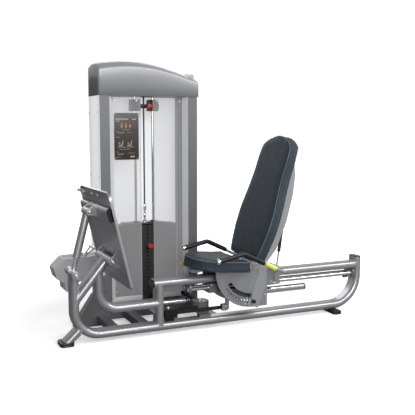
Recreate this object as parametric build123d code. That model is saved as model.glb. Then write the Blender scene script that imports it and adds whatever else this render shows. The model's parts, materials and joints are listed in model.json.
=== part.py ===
from build123d import *
import math
import os

# Seated leg press. A padded seat slides along a level rail while the user pushes a fixed footplate.
# A belt takes the motion to a weight stack in the tower beside the rail.
# Frame: +X runs along the rail from the footplate to the rear post, +Y from the rail to the tower,
# +Z up. The origin is on the floor, at the middle of the footprint. Millimetres.

# ---- driving dimensions ---------------------------------------------------------------------
SPINE_Y = -160.0           # middle plane of every main frame tube
TUBE_ACROSS = 101.6        # flat-oval tube, along Y
TUBE_DEPTH = 50.8          # flat-oval tube, in the plane of the frame
WALL = 3.0
BOTTOM_Z = 50.0            # centre line of the bottom rail
RAIL_Z = 327.0             # centre line of the upper rail
LEFT_POST_X = -989.0
FRONT_POST_X = -448.0
REAR_POST_X = 1058.6
REAR_TOP_Z = 385.0

HUB_X, HUB_Z = -992.0, 436.0        # lower pivot of the telescopic tilt link
TILT_X, TILT_Z = -785.0, 511.0      # axis that the footplate tilts about
LINK_TOP_X, LINK_TOP_Z = -896.0, 804.0
PLATE_TOP = (-847.0, 940.0)
PLATE_BOTTOM = (-715.0, 376.0)
PLATE_WIDTH = 640.0

RECLINE_X, RECLINE_Z = 158.0, 390.0  # axis that the back pad reclines about
RECLINE_LEAN = 19.0                  # back pad from vertical, degrees
SPRING_LOW = (350.0, 267.0)
SPRING_TOP = (405.0, 650.0)
QUADRANT_R = 256.0
INDEX_R = 214.0
INDEX_STEP = 6.0
SEAT_PLATE_Y = 108.0                 # seat side plates, either side of the spine plane
BACK_PLATE_Y = 116.0
EAR_Y = 62.0

ROD_Z = 270.0                        # chrome guide rods under the rail
ROD_OFFSET = 32.0
ROD_R = 12.5
START_TUBE_Z = 203.0
START_TUBE_R = 23.0
BELT_Z = 126.0
BELT_TALL = 24.0
BELT_THICK = 3.0

TOWER_X = -355.0
TOWER_HALF = 345.0
TOWER_FRONT = 225.0
TOWER_REAR = 480.0
SHROUD_RECESS = 38.0       # front panels sit this far behind the column fronts
COLUMN_WIDE = 66.0
COLUMN_DEEP = 50.0
COLUMN_TOP = 1510.0
STACK_Y = 350.0
PLATE_PITCH = 25.4
PLATE_TALL = 25.0
STACK_Z = 150.0
RESTING_PLATES = 13
LIFTED_PLATES = 6
PLATE_HALF = 215.0
STACK_ROD_OFFSET = 64.0
STACK_ROD_R = 9.5
PULLEY_R = 36.0
TOP_PULLEY_R = 45.0
TOP_PULLEY_Z = 1570.0

CLEAR = 0.08               # running clearance on a radius
parts = {}


# ---- small helpers --------------------------------------------------------------------------
def largest(shape):
    """The biggest solid, which drops the slivers that coping leaves inside a tube."""
    return shape.solids().sort_by(SortBy.VOLUME)[-1]


def side_plane(y):
    """Plane whose drawing axes are X and Z, at one Y."""
    return Plane(origin=(0, y, 0), x_dir=(1, 0, 0), z_dir=(0, -1, 0))


def plate(sketch, y, thickness):
    return extrude(side_plane(y) * sketch, amount=thickness / 2, both=True)


def polygon(points):
    return make_face(Polyline(*points, close=True))


def block(x0, x1, y0, y1, z0, z1):
    middle = ((x0 + x1) / 2, (y0 + y1) / 2, (z0 + z1) / 2)
    return Pos(*middle) * Box(x1 - x0, y1 - y0, z1 - z0)


def rod(start, end, radius):
    start, end = Vector(*start), Vector(*end)
    span = end - start
    aligned = (Align.CENTER, Align.CENTER, Align.MIN)
    return Plane(origin=start, z_dir=span) * Cylinder(radius, span.length, align=aligned)


def rod_y(x, z, y0, y1, radius):
    return rod((x, y0, z), (x, y1, z), radius)


def bend(points, bend_radius, y=SPINE_Y):
    line = [(x, y, z) for x, z in points]
    return FilletPolyline(*line, radius=bend_radius)


def oval_solid(path, across, depth):
    start = Plane(origin=path @ 0, x_dir=(0, 1, 0), z_dir=path % 0)
    return sweep(start * SlotOverall(across, depth), path=path)


def oval_tube(path):
    """Flat-oval tube and the solid of its outside, which the joining tubes are coped against."""
    outside = oval_solid(path, TUBE_ACROSS, TUBE_DEPTH)
    inside = oval_solid(path, TUBE_ACROSS - 2 * WALL, TUBE_DEPTH - 2 * WALL)
    return outside - inside, outside


def round_path(points, bend_radius):
    return FilletPolyline(*points, radius=bend_radius)


def round_solid(path, radius):
    return sweep(Plane(origin=path @ 0, z_dir=path % 0) * Circle(radius), path=path)


def polar(centre, radius, degrees):
    angle = math.radians(degrees)
    return centre[0] + radius * math.cos(angle), centre[1] + radius * math.sin(angle)


# ---- main frame -----------------------------------------------------------------------------
def frame_loop():
    corners = [(LEFT_POST_X, HUB_Z), (LEFT_POST_X, BOTTOM_Z),
               (REAR_POST_X, BOTTOM_Z), (REAR_POST_X, REAR_TOP_Z)]
    tube, outside = oval_tube(bend(corners, [150.0, 205.0]))
    saddle = rod_y(HUB_X, HUB_Z, SPINE_Y - 80, SPINE_Y + 80, 26.0)
    return tube - saddle, outside


loop, loop_outside = frame_loop()
rail_start = FRONT_POST_X - 40
rail, rail_outside = oval_tube(Line((rail_start, SPINE_Y, RAIL_Z), (REAR_POST_X, SPINE_Y, RAIL_Z)))
post, post_outside = oval_tube(Line((FRONT_POST_X, SPINE_Y, BOTTOM_Z), (FRONT_POST_X, SPINE_Y, RAIL_Z)))
brace_foot = Vector(LEFT_POST_X, SPINE_Y, 262)
brace_head = Vector(TILT_X, SPINE_Y, TILT_Z)
brace_head = brace_head - (brace_head - brace_foot).normalized() * 12
brace, brace_outside = oval_tube(Line(brace_foot, brace_head))
SUPPORT_X, SUPPORT_Z = -839.0, 198.0
support, support_outside = oval_tube(
    bend([(SUPPORT_X, 446), (SUPPORT_X, SUPPORT_Z), (FRONT_POST_X, SUPPORT_Z)], 112.0))
leg_path = Line((-945, SPINE_Y, 104), (-1046, SPINE_Y, 12))
leg_outside = oval_solid(leg_path, 96, 46)
leg_inside = oval_solid(leg_path, 90, 40)
tilt_tube = rod_y(TILT_X, TILT_Z, SPINE_Y - 143, SPINE_Y + 143, 25.4)
tilt_bore = rod_y(TILT_X, TILT_Z, SPINE_Y - 144, SPINE_Y + 144, 8.0 + CLEAR)
BOOT_TALL = 24.0

rail = largest(rail - loop_outside)
gusset = plate(polygon([(-473.4, 172), (-473.4, 128), (-522, 172)]), SPINE_Y, 8)
post = largest(post - loop_outside - rail_outside)
support = largest(support - post_outside - brace_outside)
gusset = gusset - support_outside - post_outside
leg = largest((leg_outside - leg_inside) - loop_outside - block(-1200, -900, -300, 0, -50, BOOT_TALL))
brace = largest(brace - loop_outside - rod_y(TILT_X, TILT_Z, SPINE_Y - 80, SPINE_Y + 80, 25.4))

# Two collars on the saddle of the left post hold the shaft of the tilt link.
collars = []
for side in (-1, 1):
    collar = rod_y(HUB_X, HUB_Z, SPINE_Y + side * 31, SPINE_Y + side * 95, 25.8)
    collars.append(collar - rod_y(HUB_X, HUB_Z, SPINE_Y - 120, SPINE_Y + 120, 8.0))
parts["frame_loop"] = [loop, leg] + collars
parts["upper_rail"] = [rail]
parts["front_post"] = [post + gusset]
parts["support_tube"] = [support]
parts["footplate_brace"] = [brace, tilt_tube - tilt_bore]


def capped_shaft(x, z, half):
    """Shaft with a washer and a domed cap on each end."""
    shaft = rod_y(x, z, SPINE_Y - half, SPINE_Y + half, 8.0)
    for side in (-1, 1):
        face = SPINE_Y + side * half
        shaft += rod_y(x, z, face, face + side * 4, 19.0)
        shaft += rod_y(x, z, face + side * 4, face + side * 11, 11.0)
    return shaft


parts["pivot_shafts"] = [capped_shaft(HUB_X, HUB_Z, 95.0), capped_shaft(TILT_X, TILT_Z, 154.0)]


# ---- feet, caps and stops ---------------------------------------------------------------------
def oval_pad(x, y, wide, deep, z0, z1):
    outline = RectangleRounded(wide, deep, min(wide, deep) * 0.3)
    return extrude(Plane.XY.offset(z0) * Pos(x, y) * outline, z1 - z0)


boot = oval_pad(-1042, SPINE_Y, 84, 122, 0, BOOT_TALL)
rear_pad = oval_pad(852, SPINE_Y, 64, 214, 0, BOTTOM_Z - TUBE_DEPTH / 2)
FOOT_TALL = 14.0
tower_feet = []
for x in (TOWER_X - TOWER_HALF + 33, TOWER_X + TOWER_HALF - 33):
    for y in (TOWER_FRONT + 25, TOWER_REAR - 25):
        tower_feet.append(oval_pad(x, y, 58, 44, 0, FOOT_TALL))
parts["rubber_feet"] = [boot, rear_pad] + tower_feet


def oval_cap(plane):
    """Moulded end cap: a flange over the tube end, and a plug inside it."""
    flange = extrude(plane * SlotOverall(TUBE_ACROSS, TUBE_DEPTH), 5)
    plug = extrude(plane * SlotOverall(TUBE_ACROSS - 2 * WALL - 0.4, TUBE_DEPTH - 2 * WALL - 0.4), -16)
    return fillet(flange.faces().sort_by(Axis(plane.origin, plane.z_dir))[-1].edges(), 2.5) + plug


rail_end = Plane(origin=(rail_start, SPINE_Y, RAIL_Z), x_dir=(0, 1, 0), z_dir=(-1, 0, 0))
rear_end = Plane(origin=(REAR_POST_X, SPINE_Y, REAR_TOP_Z), x_dir=(0, 1, 0), z_dir=(0, 0, 1))
parts["tube_end_caps"] = [oval_cap(rail_end), oval_cap(rear_end)]

STOP_Z = 192.0
front_stub = rod((FRONT_POST_X + 25.4, SPINE_Y, STOP_Z), (-262, SPINE_Y, STOP_Z), 15.0)
front_tip = rod((-262, SPINE_Y, STOP_Z), (-240, SPINE_Y, STOP_Z), 17.0)
bumper_z = 250.0
rear_stub = rod((990, SPINE_Y, bumper_z), (REAR_POST_X, SPINE_Y, bumper_z), 13.0) - loop_outside
rear_stub = largest(rear_stub)
rear_tip = rod((962, SPINE_Y, bumper_z), (990, SPINE_Y, bumper_z), 16.0)
parts["travel_stops"] = [front_stub, rear_stub, front_tip, rear_tip]

# ---- guide rods under the rail ------------------------------------------------------------------
ROD_START, ROD_END = -255.0, 1021.0
rail_under = RAIL_Z - TUBE_DEPTH / 2
parts["guide_rods"] = [
    rod((ROD_START, SPINE_Y + s * ROD_OFFSET, ROD_Z), (ROD_END, SPINE_Y + s * ROD_OFFSET, ROD_Z), ROD_R)
    for s in (-1, 1)]


def rod_bracket(x0, x1):
    bracket = block(x0, x1, SPINE_Y - 50, SPINE_Y + 50, ROD_Z - 20, rail_under)
    for s in (-1, 1):
        y = SPINE_Y + s * ROD_OFFSET
        bracket -= rod((x0 - 1, y, ROD_Z), (x1 + 1, y, ROD_Z), ROD_R)
    return bracket


rod_brackets = [rod_bracket(-255, -239), rod_bracket(1005, 1021) - rear_stub]

# ---- belt path: the pull belt, two flat-lying pulleys, then the tower ------------------------------
TURN_X, TURN_Y = -378.0, SPINE_Y + 8.0
CORNER_X = -130.0
NEAR_BELT_Y = TURN_Y - PULLEY_R + 8
FAR_BELT_Y = NEAR_BELT_Y + 2 * (PULLEY_R - 8)
TURN_R = PULLEY_R - 8
CORNER_Y = FAR_BELT_Y + PULLEY_R
BASE_X = CORNER_X + PULLEY_R
BASE_Y, BASE_Z = STACK_Y - PULLEY_R, BELT_Z + PULLEY_R
TOP_RIGHT_X = BASE_X - TOP_PULLEY_R
TOP_LEFT_X = TOWER_X + TOP_PULLEY_R
PULLEY_WIDE = 30.0
AXLE_R = 6.0


def pulley(centre, axis, radius):
    """Flanged pulley whose belt runs just clear of its groove."""
    rim = radius - BELT_THICK / 2 - 0.3
    centre, axis = Vector(*centre), Vector(*axis)
    half = PULLEY_WIDE / 2
    wheel = rod(centre - axis * half, centre + axis * half, rim)
    for s in (-1, 1):
        wheel += rod(centre + axis * (s * half), centre + axis * (s * (half - 2)), rim + 5)
    wheel -= rod(centre - axis * (half + 1), centre + axis * (half + 1), AXLE_R + CLEAR)
    return wheel


parts["turn_pulley"] = [pulley((TURN_X, TURN_Y, BELT_Z), (0, 0, 1), TURN_R)]
parts["corner_pulley"] = [pulley((CORNER_X, CORNER_Y, BELT_Z), (0, 0, 1), PULLEY_R)]
parts["base_pulley"] = [pulley((BASE_X, BASE_Y, BASE_Z), (1, 0, 0), PULLEY_R)]
parts["top_pulley_right"] = [pulley((TOP_RIGHT_X, STACK_Y, TOP_PULLEY_Z), (0, 1, 0), TOP_PULLEY_R)]
parts["top_pulley_left"] = [pulley((TOP_LEFT_X, STACK_Y, TOP_PULLEY_Z), (0, 1, 0), TOP_PULLEY_R)]

# Turn-pulley box: a black housing on the bottom rail beside the front post.
HOUSING_LOW, HOUSING_HIGH = 98.0, 154.0
HOUSING_WALL = 5.0
room_low, room_high = HOUSING_LOW + HOUSING_WALL, HOUSING_HIGH - HOUSING_WALL
housing = block(-418, -334, SPINE_Y - 44, SPINE_Y + 60, HOUSING_LOW, HOUSING_HIGH)
housing -= block(-412, -320, SPINE_Y - 38, SPINE_Y + 54, room_low, room_high)
housing += rod((TURN_X, TURN_Y, room_low), (TURN_X, TURN_Y, room_high), AXLE_R)
housing_foot = block(-400, -350, SPINE_Y - 24, SPINE_Y + 24, BOTTOM_Z + TUBE_DEPTH / 2, HOUSING_LOW)
parts["turn_pulley_box"] = [housing, housing_foot]

# Octagonal cover over the corner pulley, open where the belt enters and leaves.
OCTAGON_TURN = 22.5
COVER_LOW = 104.0
octagon = Pos(CORNER_X, CORNER_Y) * Rot(0, 0, OCTAGON_TURN)
cover = extrude(Plane.XY.offset(COVER_LOW) * octagon * RegularPolygon(60, 8), 62)
cover -= extrude(Plane.XY.offset(COVER_LOW - 1) * octagon * RegularPolygon(54, 8), 57)
cover -= block(CORNER_X - 80, CORNER_X - 20, FAR_BELT_Y - 8, FAR_BELT_Y + 8, 100, 142)
cover -= block(BASE_X - 8, BASE_X + 8, CORNER_Y + 20, CORNER_Y + 80, 100, 142)
parts["corner_pulley_cover"] = [cover]
corner_base = block(CORNER_X - 40, CORNER_X + 40, SPINE_Y + 10, CORNER_Y + 40, 92, 103)
corner_base += rod((CORNER_X, CORNER_Y, 103), (CORNER_X, CORNER_Y, 159.5), AXLE_R)
loop_top = BOTTOM_Z + TUBE_DEPTH / 2
corner_strut = block(CORNER_X - 40, CORNER_X + 40, SPINE_Y - 20, SPINE_Y + 24, loop_top, 92)
parts["brackets"] = rod_brackets + [corner_base + corner_strut]


def belt_flat(x0, x1, y):
    low, high = BELT_Z - BELT_TALL / 2, BELT_Z + BELT_TALL / 2
    return block(x0, x1, y - BELT_THICK / 2, y + BELT_THICK / 2, low, high)


def belt_arc(centre, radius, start, size, axis_plane):
    """Part of a ring, BELT_TALL wide, for the belt where it wraps a pulley."""
    outer = Circle(radius + BELT_THICK / 2) - Circle(radius - BELT_THICK / 2)
    reach = 4 * radius
    wedge = [(0, 0)]
    for step in range(5):
        wedge.append(polar((0, 0), reach, start + size * step / 4))
    sector = outer & make_face(Polyline(*wedge, close=True))
    plane = Plane(origin=centre, x_dir=axis_plane.x_dir, z_dir=axis_plane.z_dir)
    return extrude(plane * sector, amount=BELT_TALL / 2, both=True)


CLAMP_X = -12.0
pull_strand = belt_flat(TURN_X, CLAMP_X, NEAR_BELT_Y)
turn_wrap = belt_arc((TURN_X, TURN_Y, BELT_Z), TURN_R, 90, 180, Plane.XY)
return_strand = belt_flat(TURN_X, CORNER_X, FAR_BELT_Y)
corner_wrap = belt_arc((CORNER_X, CORNER_Y, BELT_Z), PULLEY_R, -90, 90, Plane.XY)
half_tall = BELT_TALL / 2
half_thick = BELT_THICK / 2
cross_strand = block(BASE_X - half_thick, BASE_X + half_thick, CORNER_Y, CORNER_Y + 90,
                     BELT_Z - half_tall, BELT_Z + half_tall)
cross_cord = rod((BASE_X, CORNER_Y + 90, BELT_Z), (BASE_X, BASE_Y - 70, BELT_Z), 5.0)
base_strand = block(BASE_X - half_tall, BASE_X + half_tall, BASE_Y - 70, BASE_Y,
                    BELT_Z - half_thick, BELT_Z + half_thick)
base_wrap = belt_arc((BASE_X, BASE_Y, BASE_Z), PULLEY_R, -90, 90, Plane.YZ)
rise_low = block(BASE_X - half_tall, BASE_X + half_tall, STACK_Y - half_thick, STACK_Y + half_thick,
                 BASE_Z, BASE_Z + 300)
rise_cord = rod((BASE_X, STACK_Y, BASE_Z + 300), (BASE_X, STACK_Y, TOP_PULLEY_Z - 300), 5.0)
rise_high = block(BASE_X - half_thick, BASE_X + half_thick, STACK_Y - half_tall, STACK_Y + half_tall,
                  TOP_PULLEY_Z - 300, TOP_PULLEY_Z)
top_plane = Plane(origin=(0, 0, 0), x_dir=(1, 0, 0), z_dir=(0, -1, 0))
top_right_wrap = belt_arc((TOP_RIGHT_X, STACK_Y, TOP_PULLEY_Z), TOP_PULLEY_R, 0, 90, top_plane)
top_left_wrap = belt_arc((TOP_LEFT_X, STACK_Y, TOP_PULLEY_Z), TOP_PULLEY_R, 90, 90, top_plane)
top_strand = block(TOP_LEFT_X, TOP_RIGHT_X, STACK_Y - half_tall, STACK_Y + half_tall,
                   TOP_PULLEY_Z + TOP_PULLEY_R - half_thick, TOP_PULLEY_Z + TOP_PULLEY_R + half_thick)
belt = turn_wrap + return_strand + corner_wrap + cross_strand + cross_cord + base_strand + base_wrap
belt += rise_low + rise_cord + rise_high + top_right_wrap + top_strand + top_left_wrap
parts["fixed_belt"] = [belt]
parts["pull_strand"] = [pull_strand]

# ---- carriage: linear bearings on the guide rods, and the start tube ------------------------------
BEARING_R = 19.0


def bearing_housing(x0, x1):
    housing = block(x0, x1, SPINE_Y - 54, SPINE_Y + 54, 248, 297)
    for s in (-1, 1):
        y = SPINE_Y + s * ROD_OFFSET
        housing -= rod((x0 - 1, y, ROD_Z), (x1 + 1, y, ROD_Z), BEARING_R)
    return housing


HOUSINGS = ((-118, -38), (200, 280))
carriage = block(-118, 280, SPINE_Y - 50, SPINE_Y + 50, 238, 248)
for x0, x1 in HOUSINGS:
    carriage += bearing_housing(x0, x1)
carriage += block(74, 180, SPINE_Y - 34, SPINE_Y + 34, 170, 238)
carriage -= rod((60, SPINE_Y, START_TUBE_Z), (200, SPINE_Y, START_TUBE_Z), START_TUBE_R)
parts["carriage_block"] = [carriage]
bearings = []
for x0, x1 in HOUSINGS:
    for s in (-1, 1):
        y = SPINE_Y + s * ROD_OFFSET
        bush = rod((x0, y, ROD_Z), (x1, y, ROD_Z), BEARING_R)
        bearings.append(bush - rod((x0 - 1, y, ROD_Z), (x1 + 1, y, ROD_Z), ROD_R + CLEAR))
parts["rod_bearings"] = bearings
TUBE_START, TUBE_END = 60.0, 625.0


def start_rod(x0, x1, radius):
    """Round bar on the start tube's axis."""
    return rod((x0, SPINE_Y, START_TUBE_Z), (x1, SPINE_Y, START_TUBE_Z), radius)


start_tube = start_rod(TUBE_START, TUBE_END, START_TUBE_R)
start_tube -= start_rod(TUBE_START - 1, TUBE_END + 1, START_TUBE_R - 3)
tube_caps = []
for x, out in ((TUBE_START, -1), (TUBE_END, 1)):
    cap = start_rod(x, x + out * 7, START_TUBE_R)
    tube_caps.append(cap + start_rod(x, x - out * 14, START_TUBE_R - 3.2))
parts["start_tube"] = [start_tube] + tube_caps
# The belt clamp: a collar on the belt end and a hanger down from the carriage.
clamp = block(CLAMP_X, CLAMP_X + 34, NEAR_BELT_Y - 14, NEAR_BELT_Y + 22, BELT_Z - 19, BELT_Z + 19)
hanger = plate(polygon([(22, 238), (22, 104), (40, 98), (49, 112), (49, 238)]), NEAR_BELT_Y + 18, 8)
parts["belt_clamp"] = [clamp + hanger]


# ---- seat frame: slides along the start tube, astride the rail -------------------------------------
def sector(radius, start, end):
    """Pie slice about the recline axis, in the X-Z drawing plane."""
    centre = (RECLINE_X, RECLINE_Z)
    through = [polar(centre, radius, turn) for turn in (start, (start + end) / 2, end)]
    arc = ThreePointArc(*through)
    return make_face(arc + Line(arc @ 1, centre) + Line(centre, arc @ 0))


def ring_slot(inner, outer, start, end):
    return sector(outer, start, end) - Pos(RECLINE_X, RECLINE_Z) * Circle(inner)


PAN_REAR, PAN_FRONT = 100.0, -232.0
PAN_END = 277.0
PAN_Z, PAN_RISE, PAN_SHEET = 374.0, 28.0, 6.0
pan_slope = math.atan2(PAN_RISE, PAN_REAR - PAN_FRONT)
far_forward = -400.0
below_pan = polygon([(far_forward, PAN_Z + (PAN_REAR - far_forward) * math.tan(pan_slope)), (PAN_REAR, PAN_Z),
                     (500, PAN_Z), (500, 0), (far_forward, 0)])
above_pan = polygon([(PAN_FRONT - 5, PAN_Z + PAN_RISE), (PAN_REAR, PAN_Z), (PAN_END, PAN_Z), (PAN_END, 480),
                     (PAN_FRONT - 5, 480)])
upright = polygon([(RECLINE_X, 418), (277, 396), (277, 132), (RECLINE_X, 132)])
lug = Pos(RECLINE_X, RECLINE_Z) * Circle(28)
profile = (sector(QUADRANT_R, 180, 270) & below_pan) + upright + lug
pivot_hole = Pos(RECLINE_X, RECLINE_Z) * Circle(8.0)
near_profile = profile - pivot_hole - ring_slot(166, 236, 209, 274)
near_plate = plate(near_profile, SPINE_Y - SEAT_PLATE_Y, 6)
far_plate = plate(profile - pivot_hole, SPINE_Y + SEAT_PLATE_Y, 6)
pin_path = [polar((RECLINE_X, RECLINE_Z), INDEX_R, 270 - INDEX_STEP * i) for i in range(10)]
pan_top = PAN_Z + PAN_SHEET
pan_shape = polygon([(PAN_FRONT, PAN_Z + PAN_RISE), (PAN_REAR, PAN_Z), (PAN_END, PAN_Z), (PAN_END, pan_top),
                     (PAN_REAR, pan_top), (PAN_FRONT, pan_top + PAN_RISE)])
pan = plate(pan_shape, SPINE_Y, 2 * SEAT_PLATE_Y - 6)
tail_shape = polygon([(PAN_END, PAN_Z), (392, PAN_Z), (392, pan_top), (PAN_END, pan_top)])
pan_tail = plate(tail_shape, SPINE_Y, 2 * EAR_Y + 6)
ear_shape = polygon([(190, 250), (400, 255), (400, 300), (392, PAN_Z), (190, PAN_Z)])
ears = []
for s in (-1, 1):
    ears.append(plate(ear_shape, SPINE_Y + s * EAR_Y, 6) - pan - pan_tail)
SLEEVE = (190.0, 262.0)
sleeve = block(SLEEVE[0], SLEEVE[1], SPINE_Y - 34, SPINE_Y + 34, 172, 234)
for s in (-1, 1):
    y0, y1 = SPINE_Y + s * 34, SPINE_Y + s * (SEAT_PLATE_Y - 3)
    sleeve += block(SLEEVE[0], SLEEVE[1], min(y0, y1), max(y0, y1), 178, 228)
sleeve -= rod((180, SPINE_Y, START_TUBE_Z), (280, SPINE_Y, START_TUBE_Z), START_TUBE_R + CLEAR)
spring_pin = rod_y(SPRING_LOW[0], SPRING_LOW[1], SPINE_Y - EAR_Y - 3, SPINE_Y - 92, 5.0)
nose = plate(polygon([(PAN_FRONT, 396), (PAN_FRONT, 378), (-190, 372), (-120, 386), (-120, 392)]), SPINE_Y, 60)
nose -= plate(above_pan, SPINE_Y, 80)
near_ear = ears[0] + spring_pin
parts["seat_frame"] = [near_plate, far_plate, pan + pan_tail, near_ear, ears[1], sleeve, nose]
strip_shape = ring_slot(194, 241, 205, 277)
for x, z in pin_path:
    strip_shape -= Pos(x, z) * Circle(5.5)
parts["index_strip"] = [plate(strip_shape, SPINE_Y - SEAT_PLATE_Y + 5, 4)]
recline_shafts = []
for s in (-1, 1):
    inner = SPINE_Y + s * (SEAT_PLATE_Y - 5)
    outer = SPINE_Y + s * (BACK_PLATE_Y + 3.4)
    shaft = rod_y(RECLINE_X, RECLINE_Z, inner, outer, 8.0)
    shaft += rod_y(RECLINE_X, RECLINE_Z, outer, outer + s * 4, 19.0)
    shaft += rod_y(RECLINE_X, RECLINE_Z, outer + s * 4, outer + s * 12, 12.0)
    recline_shafts.append(shaft - near_plate - far_plate)
parts["seat_frame"] += recline_shafts


SEAT_HALF, SEAT_LENGTH, SEAT_THICK = 214.0, 352.0, 78.0
SEAT_STRAIGHT = 190.0


def seat_outline():
    """The seat's plan: straight sides, then a wide arc round the front."""
    near = Line((0, -SEAT_HALF), (-SEAT_STRAIGHT, -SEAT_HALF))
    curve = Spline(near @ 1, (-285, -178), (-SEAT_LENGTH, -30), tangents=[(-1, 0), (0.05, 1)])
    nose_line = Line(curve @ 1, (-SEAT_LENGTH, 30))
    curve_far = Spline(nose_line @ 1, (-285, 178), (-SEAT_STRAIGHT, SEAT_HALF), tangents=[(0.05, 1), (1, 0)])
    far = Line(curve_far @ 1, (0, SEAT_HALF))
    return make_face(near + curve + nose_line + curve_far + far + Line(far @ 1, near @ 0))


slope_x, slope_z = math.cos(pan_slope), math.sin(pan_slope)
seat_plane = Plane(origin=(PAN_REAR, SPINE_Y, pan_top + 2), x_dir=(slope_x, 0, -slope_z), z_dir=(slope_z, 0, slope_x))
seat_pad = extrude(seat_plane * seat_outline(), SEAT_THICK)
seat_top = seat_pad.faces().sort_by(Axis(seat_plane.origin, seat_plane.z_dir))[-1]
seat_pad = fillet(seat_top.edges(), 14)
parts["seat_pad"] = [seat_pad]

# Handles: one bent bar each side, from the ear forward past the seat.
HANDLE_Y = 276.0
GRIP_R = 15.5
BAR_R = 12.5
HANDLE_LINE = [(-151, 485), (18, 520), (325, 372)]
HANDLE_DOWN = Vector(325 - 18, 0, 372 - 520).normalized()
bars, grips = [], []
for s in (-1, 1):
    y = SPINE_Y + s * HANDLE_Y
    line = [(x, y, z) for x, z in HANDLE_LINE] + [(325, SPINE_Y + s * (EAR_Y + 3), 372)]
    path = round_path(line, 38.0)
    bar = round_solid(path, BAR_R) - round_solid(path, BAR_R - 2.5)
    bars.append(bar)
    grip_line = [(x, y, z) for x, z in HANDLE_LINE[:2]]
    grip_line.append(Vector(18, y, 520) + HANDLE_DOWN * 158)
    grip_path = round_path(grip_line, 38.0)
    grip = round_solid(grip_path, GRIP_R) - round_solid(grip_path, BAR_R + 0.02)
    grip -= block(-400, -143, y - 40, y + 40, 400, 600)
    grips.append(grip)
    front = Vector(-151, y, 485)
    ahead = Vector(-169, 0, -35).normalized()
    bars.append(rod(front, front + ahead * 14, GRIP_R + 1))
parts["handle_bars"] = bars
parts["handle_grips"] = grips

# Recline release: a yellow sleeve on the near handle behind the grip.
near_y = SPINE_Y - HANDLE_Y
sleeve_start = Vector(18, near_y, 520) + HANDLE_DOWN * 168
sleeve_end = sleeve_start + HANDLE_DOWN * 78
release = rod(sleeve_start, sleeve_end, GRIP_R)
release += rod(sleeve_end, sleeve_end + HANDLE_DOWN * 6, GRIP_R + 2.5)
release -= rod(sleeve_start - HANDLE_DOWN, sleeve_end + HANDLE_DOWN * 8, BAR_R + CLEAR)
parts["recline_release"] = [release]

# Start-position lever: a pivoted rod under the seat's front with a yellow knob.
LEVER_X, LEVER_Y, LEVER_Z = -118.0, SPINE_Y + 191.0, 385.0
lever = rod((LEVER_X, LEVER_Y, LEVER_Z), (LEVER_X - 86, LEVER_Y, LEVER_Z + 6), 5.0)
knob_solid = rod((LEVER_X - 80, LEVER_Y, LEVER_Z + 5.6), (LEVER_X - 104, LEVER_Y, LEVER_Z + 7.2), 12.0)
lever += fillet(knob_solid.edges(), 5)
lever += rod_y(LEVER_X, LEVER_Z, LEVER_Y - 8, LEVER_Y + 8, 9.0)
lever -= rod_y(LEVER_X, LEVER_Z, LEVER_Y - 9, LEVER_Y + 9, 4.0 + CLEAR)
parts["start_lever"] = [lever]
lever_pin = rod_y(LEVER_X, LEVER_Z, SPINE_Y + 80, LEVER_Y + 12, 4.0)
lever_block = block(LEVER_X - 12, LEVER_X + 12, SPINE_Y + 80, SPINE_Y + 104, LEVER_Z - 9, LEVER_Z + 18)
lever_block -= plate(above_pan, SPINE_Y, 400)
parts["seat_frame"].append(lever_block + lever_pin)

# ---- back frame and back pad -------------------------------------------------------------------------
lean = math.radians(RECLINE_LEAN)
UP = (math.sin(lean), math.cos(lean))
BACK_FRONT = (147.0, 465.0)
PAD_THICK = 64.0


def back_point(s, depth):
    """Point in X-Z: s up along the pad's front face, depth behind it."""
    return (BACK_FRONT[0] + UP[0] * s + UP[1] * depth, BACK_FRONT[1] + UP[1] * s - UP[0] * depth)


ARM_FOOT, ARM_HEAD = (128.0, 150.0), (206.0, 368.0)        # ends of the arm's leaning front edge
arm_shape = polygon([ARM_HEAD, (222, 444), (262, 420), (268, 392), (263, 266), (204, 124), ARM_FOOT])
bracket_front = [back_point(s, PAD_THICK + 2) for s in (-30, 0, 690)]
bracket_rear = [(672, 112), (600, 142), (480, 168), (300, 182), (100, 170), (10, 135)]
bracket_rear = [back_point(*p) for p in bracket_rear]
bracket_shape = polygon([(RECLINE_X + 6, 372)] + bracket_front + bracket_rear + [(262, 396)])
back_hole = Pos(RECLINE_X, RECLINE_Z) * Circle(8.0 + CLEAR)
back_lug = Pos(RECLINE_X, RECLINE_Z) * Circle(27)
spring_hole = Pos(*SPRING_TOP) * Circle(4.0)
pin_x, pin_z = pin_path[0]
near_back_shape = arm_shape + bracket_shape + back_lug - back_hole
near_back_shape -= Pos(pin_x, pin_z) * Circle(5.5)
near_back = plate(near_back_shape, SPINE_Y - BACK_PLATE_Y, 6)
far_back = plate(bracket_shape + back_lug - back_hole, SPINE_Y + BACK_PLATE_Y, 6)
FLANGE_THICK = 5.0
flange_shape = polygon([ARM_FOOT, (ARM_FOOT[0] + FLANGE_THICK, ARM_FOOT[1]),
                        (ARM_HEAD[0] + FLANGE_THICK, ARM_HEAD[1]), ARM_HEAD])
flange_face = plate(flange_shape, SPINE_Y - BACK_PLATE_Y - 13, 20)
cross_bars = []
for s in (120, 470):
    corners = [back_point(s - 30, PAD_THICK + 2), back_point(s + 30, PAD_THICK + 2),
               back_point(s + 30, PAD_THICK + 9), back_point(s - 30, PAD_THICK + 9)]
    cross_bars.append(plate(polygon(corners), SPINE_Y, 2 * BACK_PLATE_Y - 6))
tie = rod_y(*back_point(520, 120), SPINE_Y - BACK_PLATE_Y + 3, SPINE_Y + BACK_PLATE_Y - 3, 12.0)
spring_boss = rod_y(SPRING_TOP[0], SPRING_TOP[1], SPINE_Y - BACK_PLATE_Y + 3, SPINE_Y - 68, 4.0)
back_frame = near_back + far_back + flange_face + cross_bars[0] + cross_bars[1] + tie + spring_boss
parts["back_frame"] = [back_frame]

HALF_WIDTHS = [(0, 200), (140, 234), (290, 243), (430, 224), (570, 208), (700, 203), (770, 190)]


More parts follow.
